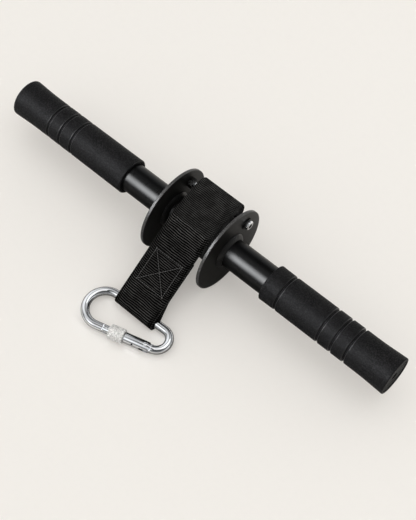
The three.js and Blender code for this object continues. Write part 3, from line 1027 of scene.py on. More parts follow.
@dataclass
class Grip:
    """One rubber grip, with its grooves, flared end, dished end face and vent."""

    side: Side
    collar: bool
    wall: float = 3.8
    slip: float = 0.2
    collar_rise: float = 0.4
    collar_fade: float = 1.0
    end_wall: float = 4.2
    flare_length: float = 26.0
    flare_share: float = 1 / 3
    bore_round: float = 0.3
    inner_round: float = 1.6
    outer_round: float = 1.5
    rim: float = 2.6
    dish_depth: float = 0.9
    dish_round: float = 0.4
    vent_radius: float = 3.8
    vent_round: float = 0.5
    hidden_round: float = 0.2
    groove_width: float = 2.0
    groove_depth: float = 1.7
    groove_lip: float = 0.6
    lip_margin: float = 0.02
    groove_floor_round: float = 0.5
    groove_first: float = 72.0
    groove_pitch: float = 16.2
    groove_count: int = 3
    collar_groove: float = 19.4
    round_steps: int = 5
    sides: int = 144

    def grooves(self, surface: float) -> list[tuple[float, float, float]]:
        """Gives the corners of the grooves.

        Args:
            surface: The radius of the grip between its grooves.

        Returns:
            The corners along the grip, with their roundings.
        """
        places = [self.groove_first + index * self.groove_pitch for index in range(self.groove_count)]
        if self.collar:
            places.insert(0, self.collar_groove)
        corners = []
        half = self.groove_width / 2
        floor = surface - self.groove_depth
        for at in places:
            corners += [
                (at - half - self.groove_lip, surface, self.groove_lip),
                (at - half, floor, self.groove_floor_round),
                (at + half, floor, self.groove_floor_round),
                (at + half + self.groove_lip, surface, self.groove_lip),
            ]
        return corners

    def build(self, bench: Workbench) -> None:
        """Makes the grip between the places that the frame gives.

        Args:
            bench: The workbench.
        """
        name = "grip_" + self.side.name.lower()
        low, high = bench.span(name)
        bar = bench.span("bar_tube")[1].z
        length = high.x - low.x
        surface = bar + self.wall
        collar = surface + self.collar_rise
        fade = self.groove_width + self.inner_round
        end_radius = high.z
        bore = bar + self.slip
        bulge = length - 2 * self.outer_round
        dish = length - self.dish_depth
        dish_radius = end_radius - self.rim
        end_inside = length - self.end_wall
        corners = [
            (0, bore, self.bore_round),
            (0, collar, self.inner_round),
            (fade, surface + self.collar_rise / 2, self.collar_fade),
            *self.grooves(surface),
            (length - self.flare_length, surface, self.flare_length * self.flare_share),
            (bulge, end_radius, self.outer_round),
            (length, end_radius, self.outer_round),
            (length, dish_radius + self.dish_depth / 2, self.dish_round),
            (dish, dish_radius, self.dish_round),
            (dish, self.vent_radius, self.vent_round),
            (end_inside, self.vent_radius, self.hidden_round),
            (end_inside, bore, self.hidden_round),
        ]
        shape = turned(softened(corners, steps=self.round_steps), self.sides)
        lip = surface - self.groove_lip - self.lip_margin
        shape.values["polished"] = [
            float(lip < math.hypot(point.y, point.z) < surface - self.lip_margin) for point in shape.points
        ]
        shape.moved(Matrix.Translation((min(abs(low.x), abs(high.x)), 0, 0)))
        if self.side is Side.LEFT:
            shape.moved(Matrix.Rotation(math.pi, 4, "Z"))
        bench.make(name, shape, GRIP_RUBBER, Body.ROLLER)


@dataclass
class Spool:
    """The two flanges and the weld beads that hold them on the bar."""

    slip: float = 0.2
    edge_round: float = 0.4
    hole_slack: float = 0.3
    hole_sides: int = 48
    crown_share: float = 0.62
    toe: float = 0.3
    toe_round: float = 0.2
    root_height: float = 0.4
    ripples: int = 46
    ripple_depth: float = 0.22
    ripple_lag: float = 1.4
    bead_steps: int = 6
    bead_sides: int = 276
    sides: int = 192

    def build(self, bench: Workbench, bolt: Bolt) -> None:
        """Makes the flanges and the beads.

        Args:
            bench: The workbench.
            bolt: The bolt, whose hole goes through both flanges.
        """
        inner = bench.span("bar_tube")[1].z + self.slip
        for side in Side:
            name = "flange_" + side.name.lower()
            low, high = bench.span(name)
            disc = ring((low.x, high.x), (inner, high.z), (0, self.edge_round), self.sides)
            hole = plug(low.x - PAST, high.x + PAST, bolt.radius + self.hole_slack, self.hole_sides)
            piece = bench.blank(name + "_fine", disc)
            bench.work(piece, Boolean.CUT, [hole.moved(bolt.place(bench))])
            bench.dress(piece, DISC_PAINT, Body.ROLLER, replaces=name)
        for name in ("weld_right_outer", "weld_right_inner", "weld_left_inner", "weld_left_outer"):
            self.bead(bench, name, inner)

    def bead(self, bench: Workbench, name: str, inner: float) -> None:
        """Makes one weld bead with the ripples of its passes.

        Args:
            bench: The workbench.
            name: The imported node.
            inner: The radius of the bead's root.
        """
        low, high = bench.span(name)
        flange = bench.span("flange_right" if "right" in name else "flange_left")
        near, far = sorted((low.x, high.x), key=lambda x: min(abs(x - flange[0].x), abs(x - flange[1].x)))
        leg = abs(far - near)
        crown = self.crown_share * leg
        corners = [
            (near, inner, 0),
            (near, high.z, self.toe),
            (near + math.copysign(crown, far - near), inner + crown, leg / 2),
            (far, inner + self.toe, self.toe_round),
            (far, inner, 0),
        ]
        shape = turned(softened(corners, steps=self.bead_steps), self.bead_sides)
        for point in shape.points:
            radius = math.hypot(point.y, point.z)
            if radius < inner + self.root_height:
                continue
            lift = min(1.0, 2 * (high.z - radius) / leg)
            turn = self.ripples * math.atan2(point.z, point.y) + self.ripple_lag * (radius - inner)
            scale = 1 - self.ripple_depth * lift * (1 - math.cos(turn)) / 2 / radius
            point.y *= scale
            point.z *= scale
        bench.make(name, shape, WELD_PAINT, Body.ROLLER)


@dataclass
class Bolt:
    """The bolt across the spool, with its washers and nuts."""

    radius: float = 3.0
    slip: float = 0.2
    washer_round: float = 0.25
    tip_bevel: float = 0.8
    edge_round: float = 0.3
    head_bevel: float = 0.9
    head_round: float = 0.5
    socket_across: float = 5.0
    socket_depth: float = 2.4
    # Thickness of the black sheet that paints shade inside the head's socket.
    painted_shade_sheet: float = 0.2
    thread_inset: float = 0.9
    thread_pitch: float = 1.0
    ridge_radius: float = 0.32
    nut_rise: float = 0.1
    bevel_share: float = 0.6
    bevel_spread: float = 2.2
    sides: int = 64

    def place(self, bench: Workbench) -> Matrix:
        """Gives the placement of the bolt's axis, which is the middle of its washers."""
        low, high = bench.span("bolt_washer_right")
        return Matrix.Translation((0, (low.y + high.y) / 2, (low.z + high.z) / 2))

    def build(self, bench: Workbench, coil: Recipe) -> None:
        """Makes the bolt, its thread, its washers and its nuts.

        Args:
            bench: The workbench.
            coil: The recipe of the thread's ridge.
        """
        place = self.place(bench)
        self.shank(bench, place)
        start = bench.span("bolt_cross")[0].x + self.thread_inset
        end = bench.span("bolt_nut")[0].x + self.slip
        thread = Coil("bolt_thread", self.radius - self.ridge_radius, self.ridge_radius,
                      (end - start) / self.thread_pitch, start, end)
        thread.build(bench, coil, place, Body.ROLLER)
        for name in ("bolt_washer_right", "bolt_washer_left"):
            low, high = bench.span(name)
            radii = (self.radius + self.slip, (high.z - low.z) / 2)
            washer = ring((low.x, high.x), radii, (self.washer_round, self.washer_round), self.sides)
            bench.make(name, washer.moved(place), BLACK_OXIDE, Body.ROLLER)
        self.nut(bench, "bolt_nut", BRIGHT_STEEL, place)
        self.nut(bench, "bolt_seat_nut", BLACK_OXIDE, place)

    def shank(self, bench: Workbench, place: Matrix) -> None:
        """Makes the bolt with its head, and a thin black sheet inside its socket, which is painted shade.

        Args:
            bench: The workbench.
            place: The placement of the bolt's axis.
        """
        low, high = bench.span("bolt_cross")
        head = bench.span("bolt_washer_right")[1].x + self.slip
        head_radius = (high.y - low.y) / 2
        core = self.radius - self.ridge_radius / 2
        collar = bench.span("bolt_nut")[1].x
        corners = [
            (low.x, 0, 0),
            (low.x, core - self.tip_bevel, self.edge_round),
            (low.x + self.tip_bevel, core, self.edge_round),
            (collar, core, 0),
            (collar, self.radius, 0),
            (head, self.radius, 0),
            (head, head_radius, self.edge_round),
            (high.x - self.head_bevel, head_radius, self.head_round),
            (high.x, head_radius - self.head_bevel, self.edge_round),
            (high.x, 0, 0),
        ]
        shape = turned(softened(corners, closed=False), self.sides)
        piece = bench.blank("bolt_cross_fine", shape.moved(place))
        corner = self.socket_across / math.sqrt(3)
        floor = high.x - self.socket_depth
        mouth = high.x - self.head_bevel / 2
        socket = hexagon(corner, floor, high.x + PAST)
        bench.work(piece, Boolean.CUT, [socket.moved(place)])
        bench.dress(piece, BRIGHT_STEEL, Body.ROLLER, replaces="bolt_cross")
        # Painted shade: a thin black sheet covers the socket's walls, where shade falls.
        painted_shade_sheet = bench.blank("bolt_socket_painted_shade", hexagon(corner, floor, mouth).moved(place))
        hollow = hexagon(corner - self.painted_shade_sheet, floor + self.painted_shade_sheet, mouth + PAST)
        bench.work(painted_shade_sheet, Boolean.CUT, [hollow.moved(place)])
        bench.dress(painted_shade_sheet, BLACK_OXIDE, Body.ROLLER)

    def nut(self, bench: Workbench, name: str, finish: Finish, place: Matrix) -> None:
        """Makes a hexagon nut with bevelled corners.

        Args:
            bench: The workbench.
            name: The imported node.
            finish: Its finish.
            place: The placement of the bolt's axis.
        """
        low, high = bench.span(name)
        across, corner = sorted(((high.y - low.y) / 2, (high.z - low.z) / 2))
        bevel = corner - across
        piece = bench.blank(name + "_fine", hexagon(corner, low.x, high.x).moved(place))
        start, end = low.x - PAST, high.x + PAST
        narrow, wide = corner - self.bevel_spread * bevel, corner + self.nut_rise
        inset = self.bevel_share * bevel
        hull = turned([(start, 0), (start, narrow), (low.x + inset, wide), (high.x - inset, wide),
                       (end, narrow), (end, 0)], self.sides)
        bench.work(piece, Boolean.KEEP, [hull.moved(place)])
        hole = plug(start, end, self.radius + self.slip, self.sides)
        bench.work(piece, Boolean.CUT, [hole.moved(place)])
        bench.dress(piece, finish, Body.ROLLER, replaces=name)


# Webbing


@dataclass
class Webbing:
    """The webbing: wound round bar and bolt, run down to the sewn loop, and sewn with a crossed box."""

    width: float = 50.0
    thickness: float = 2.1
    layer_gap: float = 0.5
    seat_gap: float = 0.3
    turns: int = 4
    tail_angle: float = 1.3
    hidden_turn: float = 1.0
    edge_round: float = 0.8
    edge_rib_share: float = 0.5
    loop_slack: float = 1.173
    sewn_start: float = 26.0
    sewn_length: float = 46.0
    rib_pitch: float = 2.25
    wound_rib_pitch: float = 1.9
    rib_depth: float = 0.6
    wound_rib_depth: float = 0.24
    rib_sharpness: float = 0.7
    rib_seed: int = 3
    waver: float = 3.2
    waver_scale: float = 85.0
    selvedge: float = 20.4
    selvedge_slant: float = 0.35
    selvedge_seam: float = 0.45
    box_width: float = 34.0
    box_length: float = 37.0
    box_start: float = 26.8
    thread_radius: float = 0.42
    stitch_pitch: float = 2.6
    stitch_length: float = 2.5
    pucker: float = 0.32
    pucker_reach: float = 1.3
    columns: int = 22
    coarse_step: float = 2.0
    fine_step: float = 0.3
    wound_step: float = 0.2
    bend_length: float = 9.0
    sharp: float = 60.0

    def measure(self, bench: Workbench, bolt: Bolt, carabiner: Carabiner) -> None:
        """Works out the run's place from the bar, the bolt and the carabiner's rod.

        Args:
            bench: The workbench.
            bolt: The bolt.
            carabiner: The carabiner.
        """
        self.pitch: float = self.thickness + self.layer_gap
        self.half: float = self.thickness / 2
        self.bar: float = bench.span("bar_tube")[1].z
        self.bolt_radius: float = bolt.radius
        place = bolt.place(bench).translation
        self.bolt_centre: Vector = Vector((place.y, place.z))
        floor = bench.span("flange_right")[0].z
        self.spine: Vector = Vector((-carabiner.spine_out, floor + carabiner.sleeve_radius))
        self.loop_radius: float = carabiner.rod_radius + self.loop_slack + self.half
        reach = (self.bar_circle(self.turns - 1) - self.loop_radius) / self.spine.length
        self.run_angle: float = math.atan2(self.spine.y, self.spine.x) % (2 * math.pi) - math.acos(reach)
        self.normal: Vector = Vector((math.cos(self.run_angle), math.sin(self.run_angle)))
        self.along: Vector = Vector((-self.normal.y, self.normal.x))
        self.run_start: Vector = self.normal * self.bar_circle(self.turns - 1)
        self.run_length: float = (self.spine - self.run_start).dot(self.along)

    def bar_circle(self, turn: int) -> float:
        """Gives the radius of a turn's middle line round the bar."""
        return self.bar + self.seat_gap + self.half + turn * self.pitch

    def bolt_circle(self, turn: int) -> float:
        """Gives the radius of a turn's middle line round the bolt."""
        return self.bolt_radius + self.seat_gap + self.half + turn * self.pitch

    def wrap(self, bar_side: float, bolt_side: float) -> float:
        """Gives the angle from the bolt's direction to the normal of the line that touches both circles."""
        return math.acos((bar_side - bolt_side) / self.bolt_centre.length)

    def wound_line(self) -> tuple[list[Vector], list[Vector]]:
        """Draws the middle line of the winding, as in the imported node.

        Returns:
            The line up to the bolt on the last turn, and the rest of it up to where the run leaves.
        """
        bolt_angle = math.atan2(self.bolt_centre.y, self.bolt_centre.x)
        bar_centre = Vector((0, 0))
        step = self.coarse_step
        points: list[Vector] = []
        for turn in range(self.turns):
            last = turn == self.turns - 1
            leave = bolt_angle + self.wrap(self.bar_circle(turn), self.bolt_circle(turn))
            arrive = bolt_angle - self.wrap(self.bar_circle(turn - 1), self.bolt_circle(turn))
            if turn == 0:
                arrive = leave + self.tail_angle - 2 * math.pi
            hidden = (leave + arrive) / 2 - self.hidden_turn if last else leave
            points += arc(self.bolt_centre, self.bolt_circle(turn), arrive, hidden, step / 2)
            if last:
                break
            under = bolt_angle + 2 * math.pi - self.wrap(self.bar_circle(turn), self.bolt_circle(turn + 1))
            points += arc(bar_centre, self.bar_circle(turn), leave, under, step)
        shown = arc(self.bolt_centre, self.bolt_circle(turn), hidden, leave, self.wound_step)
        crest = arc(bar_centre, self.bar_circle(turn), leave, self.run_angle, self.wound_step)
        shown += line(shown[-1], crest[0], self.wound_step) + crest[1:]
        return points, shown

    def run_line(self) -> list[Vector]:
        """Draws the middle line of the run, its loop and the layer that is sewn back under it.

        Returns:
            The points after the one where the run leaves the winding.
        """
        start = self.run_start
        reach = Vector((-self.sewn_start, self.loop_radius - self.pitch))
        back = math.pi + math.asin(reach.y / reach.length) + math.asin(self.loop_radius / reach.length)
        loop = arc(self.spine, self.loop_radius, self.run_angle, self.run_angle + back, self.fine_step)
        sewn_end = start + self.along * (self.run_length - self.sewn_start) - self.normal * self.pitch
        sewn_tail = sewn_end - self.along * self.sewn_length
        return (line(start, loop[0], self.fine_step) + loop[1:]
                + line(loop[-1], sewn_end, self.fine_step) + line(sewn_end, sewn_tail, self.fine_step))

    def profile(self) -> list[tuple[float, float, float]]:
        """Draws the section of the webbing.

        Returns:
            Each point's place across and above the middle line, and its share of the ribs.
        """
        soft = self.edge_round
        flat = self.width / 2 - soft
        rows = [flat * (2 * column / self.columns - 1) for column in range(self.columns + 1)]
        edge = [(flat + soft * math.cos(angle), self.half * math.sin(angle), self.edge_rib_share)
                for angle in (math.pi / 4, 0, -math.pi / 4)]
        top = [(across, self.half, 1.0) for across in rows]
        low = [(across, -self.half, 1.0) for across in reversed(rows)]
        return top + edge + low + [(-across, -height, share) for across, height, share in edge]

    def strip(self, middle: list[Vector]) -> Shape:
        """Carries the webbing's section along a middle line.

        Args:
            middle: The line's points in the YZ plane.

        Returns:
            The strip, with the place along and across it in millimetres and its share of the ribs.
        """
        section = self.profile()
        shape = Shape(faces=skin(len(middle), len(section)))
        shape.values = {"along": [], "across": [], "ribbed": []}
        travelled = 0.0
        for index, point in enumerate(middle):
            travelled += (point - middle[max(index - 1, 0)]).length
            out = outward(middle, index)
            for across, height, share in section:
                spot = point + out * height
                shape.points.append(Vector((across, spot.x, spot.y)))
                shape.values["along"].append(travelled)
                shape.values["across"].append(across)
                shape.values["ribbed"].append(share)
        return shape

    def seam_corners(self) -> list[Vector]:
        """Gives the corners of the sewn box.

        Returns:
            The corners in order, along and across the run.
        """
        near = self.run_length - self.box_start - self.box_length
        far = self.run_length - self.box_start
        half = self.box_width / 2
        return [Vector((near, -half)), Vector((near, half)), Vector((far, half)), Vector((far, -half))]

    def seams(self) -> list[tuple[Vector, Vector]]:
        """Gives the lines of the sewn box and of its cross.

        Returns:
            Each line's two ends, along and across the run.
        """
        first, second, third, fourth = self.seam_corners()
        sides = [(first, second), (second, third), (third, fourth), (fourth, first)]
        return [*sides, (first, third), (second, fourth)]

    def pull_in(self, shape: Shape, lead: float) -> None:
        """Pulls the webbing in along its seams.

        Args:
            shape: The strip of the run.
            lead: How far along the strip the run starts.
        """
        out = Vector((0, self.normal.x, self.normal.y))
        shape.values["seam"] = [0.0] * len(shape.points)
        for index, point in enumerate(shape.points):
            spot = Vector((shape.values["along"][index] - lead, shape.values["across"][index]))
            if not 0 < spot.x < self.run_length:
                continue
            nearest = min(self.distance(spot, *seam) for seam in self.seams())
            pull = math.exp(-((nearest / self.pucker_reach) ** 2))
            shape.points[index] = point - out * self.pucker * pull
            shape.values["seam"][index] = pull

    def press(self, shape: Shape, lead: float) -> None:
        """Makes the ribs shallower and closer where the webbing is wound.

        Args:
            shape: The strip of the run.
            lead: How far along the strip the run starts.
        """
        depth_share = self.wound_rib_depth / self.rib_depth
        stretch = self.rib_pitch / self.wound_rib_pitch
        for index, along in enumerate(shape.values["along"]):
            if along <= lead:
                shape.values["ribbed"][index] *= depth_share
                shape.values["along"][index] = lead + (along - lead) * stretch

    @staticmethod
    def distance(spot: Vector, start: Vector, end: Vector) -> float:
        """Gives the distance from a spot to a line between two points.

        Args:
            spot: The spot.
            start: The line's first point.
            end: Its last point.

        Returns:
            The distance.
        """
        step = end - start
        share = max(0.0, min(1.0, (spot - start).dot(step) / step.length_squared))
        return (spot - start - step * share).length

    def build(self, bench: Workbench, ribs: Recipe, stitches: Recipe) -> None:
        """Makes the winding, the run and the stitches.

        Args:
            bench: The workbench.
            ribs: The recipe of the ribs.
            stitches: The recipe of the stitches.
        """
        wound, shown = self.wound_line()
        winding = bench.blank("strap_winding_fine", self.strip(wound))
        bench.dress(winding, WEBBING, Body.ROLLER, replaces="strap_winding")
        lead = sum((after - before).length for before, after in zip(shown, shown[1:]))
        shape = self.strip(shown + self.run_line())
        self.pull_in(shape, lead)
        self.press(shape, lead)
        run = bench.blank("strap_run_fine", shape)
        ribs.use(bench, run, WEBBING, Rib_Pitch=self.rib_pitch, Rib_Depth=self.rib_depth * MM,
                 Sharpness=self.rib_sharpness, Waver=self.waver, Waver_Scale=self.waver_scale,
                 Selvedge=self.selvedge, Slant=self.selvedge_slant, Seam=self.selvedge_seam,
                 Seed=self.rib_seed)
        self.bend(run)
        self.sew(bench, stitches, self.half)
        self.sew(bench, stitches, -self.pitch - self.half)

    def bend(self, run: bpy.types.Object) -> None:
        """Gives the run smooth shading, bakes its placement into its mesh and hides the imported run.

        Args:
            run: The run's piece.
        """
        mesh = run.data
        mesh.shade_smooth()
        mesh.set_sharp_from_angle(angle=math.radians(self.sharp))
        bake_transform(run)
        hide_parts("strap_run")
        log.info("%s: %d faces, bends between roller and strap", run.name, len(mesh.polygons))

    def sew(self, bench: Workbench, stitches: Recipe, height: float) -> None:
        """Sews the crossed box on one face of the run.

        Args:
            bench: The workbench.
            stitches: The recipe of the stitches.
            height: How high the face is above the run's middle line.
        """
        points = []
        for seam in self.seams():
            for corner in seam:
                spot = self.run_start + self.along * corner.x + self.normal * height
                points.append(bench.placement @ Vector((corner.y, spot.x, spot.y)))
        name = "stitches_top" if height > 0 else "stitches_under"
        mesh = bpy.data.meshes.new(name)
        mesh.from_pydata(points, [(start, start + 1) for start in range(0, len(points), 2)], [])
        piece = placed(name, mesh)
        stitches.use(bench, piece, THREAD, Pitch=self.stitch_pitch * MM, Length=self.stitch_length * MM,
                     Thread_Radius=self.thread_radius * MM)
        bench.dress(piece, THREAD, Body.STRAP)


# Carabiner


@dataclass
class Carabiner:
    """The carabiner: its bent rod, its gate with latch, hinge and spring, and its lock sleeve."""

    rod_radius: float = 4.5
    spine_length: float = 62.5
    spine_middle: float = 4.8
    spine_out: float = 95.5
    big_bow: float = 20.0
    small_bow: float = 12.4
    yaw: float = math.radians(2)
    hinge_setback: float = 6.5
    nose_straight: float = 8.2
    nose_gap: float = 0.8
    gate_radius: float = 5.6
    gate_round: float = 0.4
    gate_sides: int = 64
    gate_sharp: float = 30.0
    thread_radius: float = 5.3
    thread_spare: float = 0.7
    thread_pitch: float = 1.1
    thread_ridge: float = 0.28
    relief: float = 1.16
    relief_length: float = 1.1
    relief_spare: float = 0.5
    relief_round: float = 0.1
    tongue: float = 4.0
    nose_tongue_width: float = 7.0
    nose_tongue_length: float = 5.8
    nose_slot: float = 8.0
    pin_radius: float = 1.2
    pin_inset: float = 3.2
    notch_slack: float = 0.35
    hinge_radius: float = 4.3
    hinge_shoulder: float = 6.4
    hinge_slot: float = 5.2
    hinge_steps: int = 24
    rivet_radius: float = 1.6
    rivet_head: float = 2.5
    rivet_crown_share: float = 0.75
    rivet_rise: float = 0.6
    rivet_round: float = 0.5
    bore_radius: float = 3.0
    bore_end: float = 25.5
    bore_sides: int = 48
    spring_radius: float = 2.2
    spring_wire: float = 0.35
    spring_turns: float = 8.0
    plunger_length: float = 6.2
    plunger_neck: float = 1.6
    plunger_tip: float = 1.2
    vent_radius: float = 1.15
    vent_inset: float = 13.0
    vent_lift: float = math.radians(26)
    slip: float = 0.2
    seat: float = 0.3
    edge_round: float = 0.2
    step_round: float = 0.3
    hole_sides: int = 32
    sleeve_radius: float = 7.8
    sleeve_length: float = 16.0
    sleeve_setback: float = 6.9
    sleeve_soft: float = 0.9
    sleeve_steps: int = 76
    sleeve_sides: int = 352
    sleeve_sharp: float = 75.0
    knurl_margin: float = 0.1
    knurl_depth: float = 0.3
    knurl_diamonds: float = 44.0
    rod_sides: int = 40
    rod_step: float = 1.0

    def measure(self, bench: Workbench) -> None:
        """Works out the carabiner's frame and the places on its gate line.

        Args:
            bench: The workbench.
        """
        floor = bench.span("flange_right")[0].z
        middle = Vector((self.spine_middle, self.spine_middle * math.tan(self.yaw) - self.spine_out,
                         floor + self.sleeve_radius))
        self.frame: Matrix = Matrix.Translation(middle) @ Matrix.Rotation(self.yaw, 4, "Z")
        half = self.spine_length / 2
        self.tilt: float = 2 * math.atan((self.big_bow - self.small_bow) / self.spine_length)
        self.big_centre: Vector = Vector((-half, -self.big_bow))
        self.small_centre: Vector = Vector((half, -self.small_bow))
        out = Vector((math.sin(self.tilt), -math.cos(self.tilt)))
        self.gate_line: Vector = Vector((math.cos(self.tilt), math.sin(self.tilt)))
        self.hinge: Vector = self.small_centre + out * self.small_bow - self.gate_line * self.hinge_setback
        self.nose: float = self.hinge_setback + self.nose_straight - self.spine_length
        self.gate_end: float = self.nose + self.nose_gap
        self.pin: float = self.gate_end + self.pin_inset
        self.sleeve_start: float = self.gate_end + self.sleeve_setback
        self.thread_start: float = self.sleeve_start - self.seat
        self.thread_end: float = self.sleeve_start + self.sleeve_length + self.thread_spare
        spot = Matrix.Translation((self.hinge.x, self.hinge.y, 0)) @ Matrix.Rotation(self.tilt, 4, "Z")
        self.gate_frame: Matrix = self.frame @ spot

    def build(self, bench: Workbench, coil: Recipe, knurl: Recipe) -> None:
        """Makes all the pieces of the carabiner.

        Args:
            bench: The workbench.
            coil: The recipe of the spring and the thread's ridge.
            knurl: The recipe of the sleeve's knurl.
        """
        self.rod(bench)
        self.gate(bench)
        self.coils(bench, coil)
        self.rivet(bench)
        self.latch_pin(bench)
        self.plunger(bench)
        self.sleeve(bench, knurl)

    def drilled(self, at: float, radius: float, low: float, high: float) -> Shape:
        """Draws a tool for a hole square to the carabiner's plane, at a place on the gate's line."""
        return prism(disc_outline(at, 0, radius, self.hole_sides), low, high)

    def rod_line(self) -> list[Vector]:
        """Draws the rod's middle line from its nose round both bows to its heel.

        Returns:
            The points in the carabiner's own plane.
        """
        nose = self.hinge + self.gate_line * self.nose
        heel = self.hinge + self.gate_line * self.hinge_shoulder
        lowest = self.tilt - math.pi / 2
        step = self.rod_step
        big = arc(self.big_centre, self.big_bow, lowest, math.pi / 2 - 2 * math.pi, step)
        small = arc(self.small_centre, self.small_bow, math.pi / 2, lowest, step)
        spine = line(big[-1], small[0], step)[:-1]
        return [nose, *line(nose, big[0], step)[:-1], *big, *spine, *small, *line(small[-1], heel, step)]

    def rod(self, bench: Workbench) -> None:
        """Makes the bent rod with the tongues of its nose and its heel.

        Args:
            bench: The workbench.
        """
        middle = self.rod_line()
        shape = Shape(faces=skin(len(middle), self.rod_sides))
        for index, point in enumerate(middle):
            out = outward(middle, index)
            for across, height in disc_outline(0, 0, self.rod_radius, self.rod_sides):
                spot = point + out * across
                shape.points.append(Vector((spot.x, spot.y, height)))
        piece = bench.blank("carabiner_rod_fine", shape.moved(self.frame))
        bench.work(piece, Boolean.JOIN, [self.nose_tongue(), self.heel_tongue()])
        slot = self.pin_radius + self.notch_slack
        notch = box_outline(self.pin - slot, self.pin + slot, 0, self.nose_tongue_width)
        tools = [
            prism(notch, -self.tongue, self.tongue),
            self.drilled(self.pin, slot, -self.tongue, self.tongue),
            self.drilled(0, self.rivet_radius + self.slip, -self.tongue, self.tongue),
        ]
        bench.work(piece, Boolean.CUT, [tool.moved(self.gate_frame) for tool in tools])
        bench.dress(piece, BRIGHT_STEEL, Body.CARABINER, replaces="carabiner_rod")

    def nose_tongue(self) -> Shape:
        """Draws the flat tongue that stands out of the nose.

        Returns:
            The tongue, in its place.
        """
        half = self.nose_tongue_width / 2
        outline = box_outline(self.nose - PAST, self.gate_end + self.nose_tongue_length, -half, half)
        return prism(outline, -self.tongue / 2, self.tongue / 2).moved(self.gate_frame)

    def heel_tongue(self) -> Shape:
        """Draws the round-ended tongue that stands out of the heel.

        Returns:
            The tongue, in its place.
        """
        radius = self.hinge_radius
        turn = [math.pi / 2 + math.pi * step / self.hinge_steps for step in range(self.hinge_steps + 1)]
        outline = [(radius * math.cos(angle), radius * math.sin(angle)) for angle in turn]
        outline += [(self.hinge_shoulder + PAST, -radius), (self.hinge_shoulder + PAST, radius)]
        return prism(outline, -self.tongue / 2, self.tongue / 2).moved(self.gate_frame)

    def gate(self, bench: Workbench) -> None:
        """Makes the hollow gate, slotted at both ends, with its vent.

        Args:
            bench: The workbench.
        """
        start = self.gate_end
        radius = self.gate_radius
        core = self.thread_radius - self.thread_ridge / 2
        relief = core - self.relief
        stop = self.thread_end - self.relief_length
        shoulder = self.thread_end + self.relief_spare
        corners = [
            (start, 0, 0),
            (start, self.rod_radius, self.gate_round),
            (self.thread_start, self.rod_radius, self.edge_round),
            (self.thread_start, core, self.step_round),
            (stop, core, self.relief_round),
            (stop, relief, self.relief_round),
            (shoulder, relief, self.relief_round),
            (shoulder, radius, self.step_round),
            (radius, radius, 0),
            (radius, 0, 0),
        ]
        body = turned(softened(corners, closed=False), self.gate_sides)
        piece = bench.blank("gate_tube_fine", body.moved(self.gate_frame))
        tall = radius + PAST
        slot = self.tongue / 2 + self.seat
        turn = [math.pi * step / self.hole_sides for step in range(self.hole_sides + 1)]
        heel = [(radius * math.sin(angle), radius * math.cos(angle)) for angle in turn]
        beyond = [(0, tall), *heel, (0, -tall), (tall, -tall), (tall, tall)]
        vent = self.drilled(-self.vent_inset, self.vent_radius, 0, tall)
        tools = [
            prism(beyond, -tall, tall),
            prism(box_outline(-self.hinge_slot, tall, -tall, tall), -slot, slot),
            prism(box_outline(start - PAST, start + self.nose_slot, -tall, tall), -slot, slot),
            plug(-self.bore_end, 0, self.bore_radius, self.bore_sides),
            self.drilled(0, self.rivet_radius + self.slip, -tall, tall),
            self.drilled(self.pin, self.pin_radius + self.slip / 2, -tall, tall),
            vent.moved(Matrix.Rotation(math.pi / 2 - self.vent_lift, 4, "X")),
        ]
        bench.work(piece, Boolean.CUT, [tool.moved(self.gate_frame) for tool in tools])
        bench.dress(piece, BRIGHT_STEEL, Body.GATE, replaces="gate_tube", sharp=self.gate_sharp)

    def coils(self, bench: Workbench, recipe: Recipe) -> None:
        """Winds the thread's ridge, clear of the gate's slot, and the spring inside the gate.

        Args:
            bench: The workbench.
            recipe: The recipe of coils.
        """
        ridge = self.thread_ridge
        start = self.gate_end + self.nose_slot + ridge
        end = self.thread_end - self.relief_length - ridge
        turns = (end - start) / self.thread_pitch
        thread = Coil("gate_thread", self.thread_radius - ridge, ridge, turns, start, end)
        thread.build(bench, recipe, self.gate_frame, Body.GATE)
        wire = self.spring_wire
        start = self.seat + wire - self.bore_end
        end = -self.hinge_slot - self.plunger_length - self.seat - wire
        spring = Coil("gate_spring_fine", self.spring_radius, wire, self.spring_turns, start, end)
        spring.build(bench, recipe, self.gate_frame, Body.GATE, replaces="gate_spring")

    def rivet(self, bench: Workbench) -> None:
        """Makes the rivet that the gate turns on.

        Args:
            bench: The workbench.
        """
        half = self.gate_radius + self.slip / 2
        head = half + self.rivet_rise
        crown = self.rivet_crown_share * self.rivet_head
        corners = [
            (-head, 0, 0),
            (-head, crown, self.rivet_round),
            (-half, self.rivet_head, self.edge_round),
            (-half, self.rivet_radius, 0),
            (half, self.rivet_radius, 0),
            (half, self.rivet_head, self.edge_round),
            (head, crown, self.rivet_round),
            (head, 0, 0),
        ]
        rivet = turned(softened(corners, closed=False), self.bore_sides).moved(self.gate_frame @ Z_TO_X)
        bench.make("gate_rivet", rivet, BRIGHT_STEEL, Body.CARABINER)

    def latch_pin(self, bench: Workbench) -> None:
        """Makes the pin across the gate's slot, which the notch of the nose closes on.

        Args:
            bench: The workbench.
        """
        half = (self.rod_radius - self.slip) * math.cos(math.asin(self.pin_radius / self.rod_radius))
        corners = [
            (-half, 0, 0),
            (-half, self.pin_radius, self.edge_round),
            (half, self.pin_radius, self.edge_round),
            (half, 0, 0),
        ]
        pin = turned(softened(corners, closed=False), self.hole_sides)
        pin.moved(self.gate_frame @ Matrix.Translation((self.pin, 0, 0)) @ Z_TO_X)
        bench.make("gate_latch_pin", pin, BRIGHT_STEEL, Body.GATE)

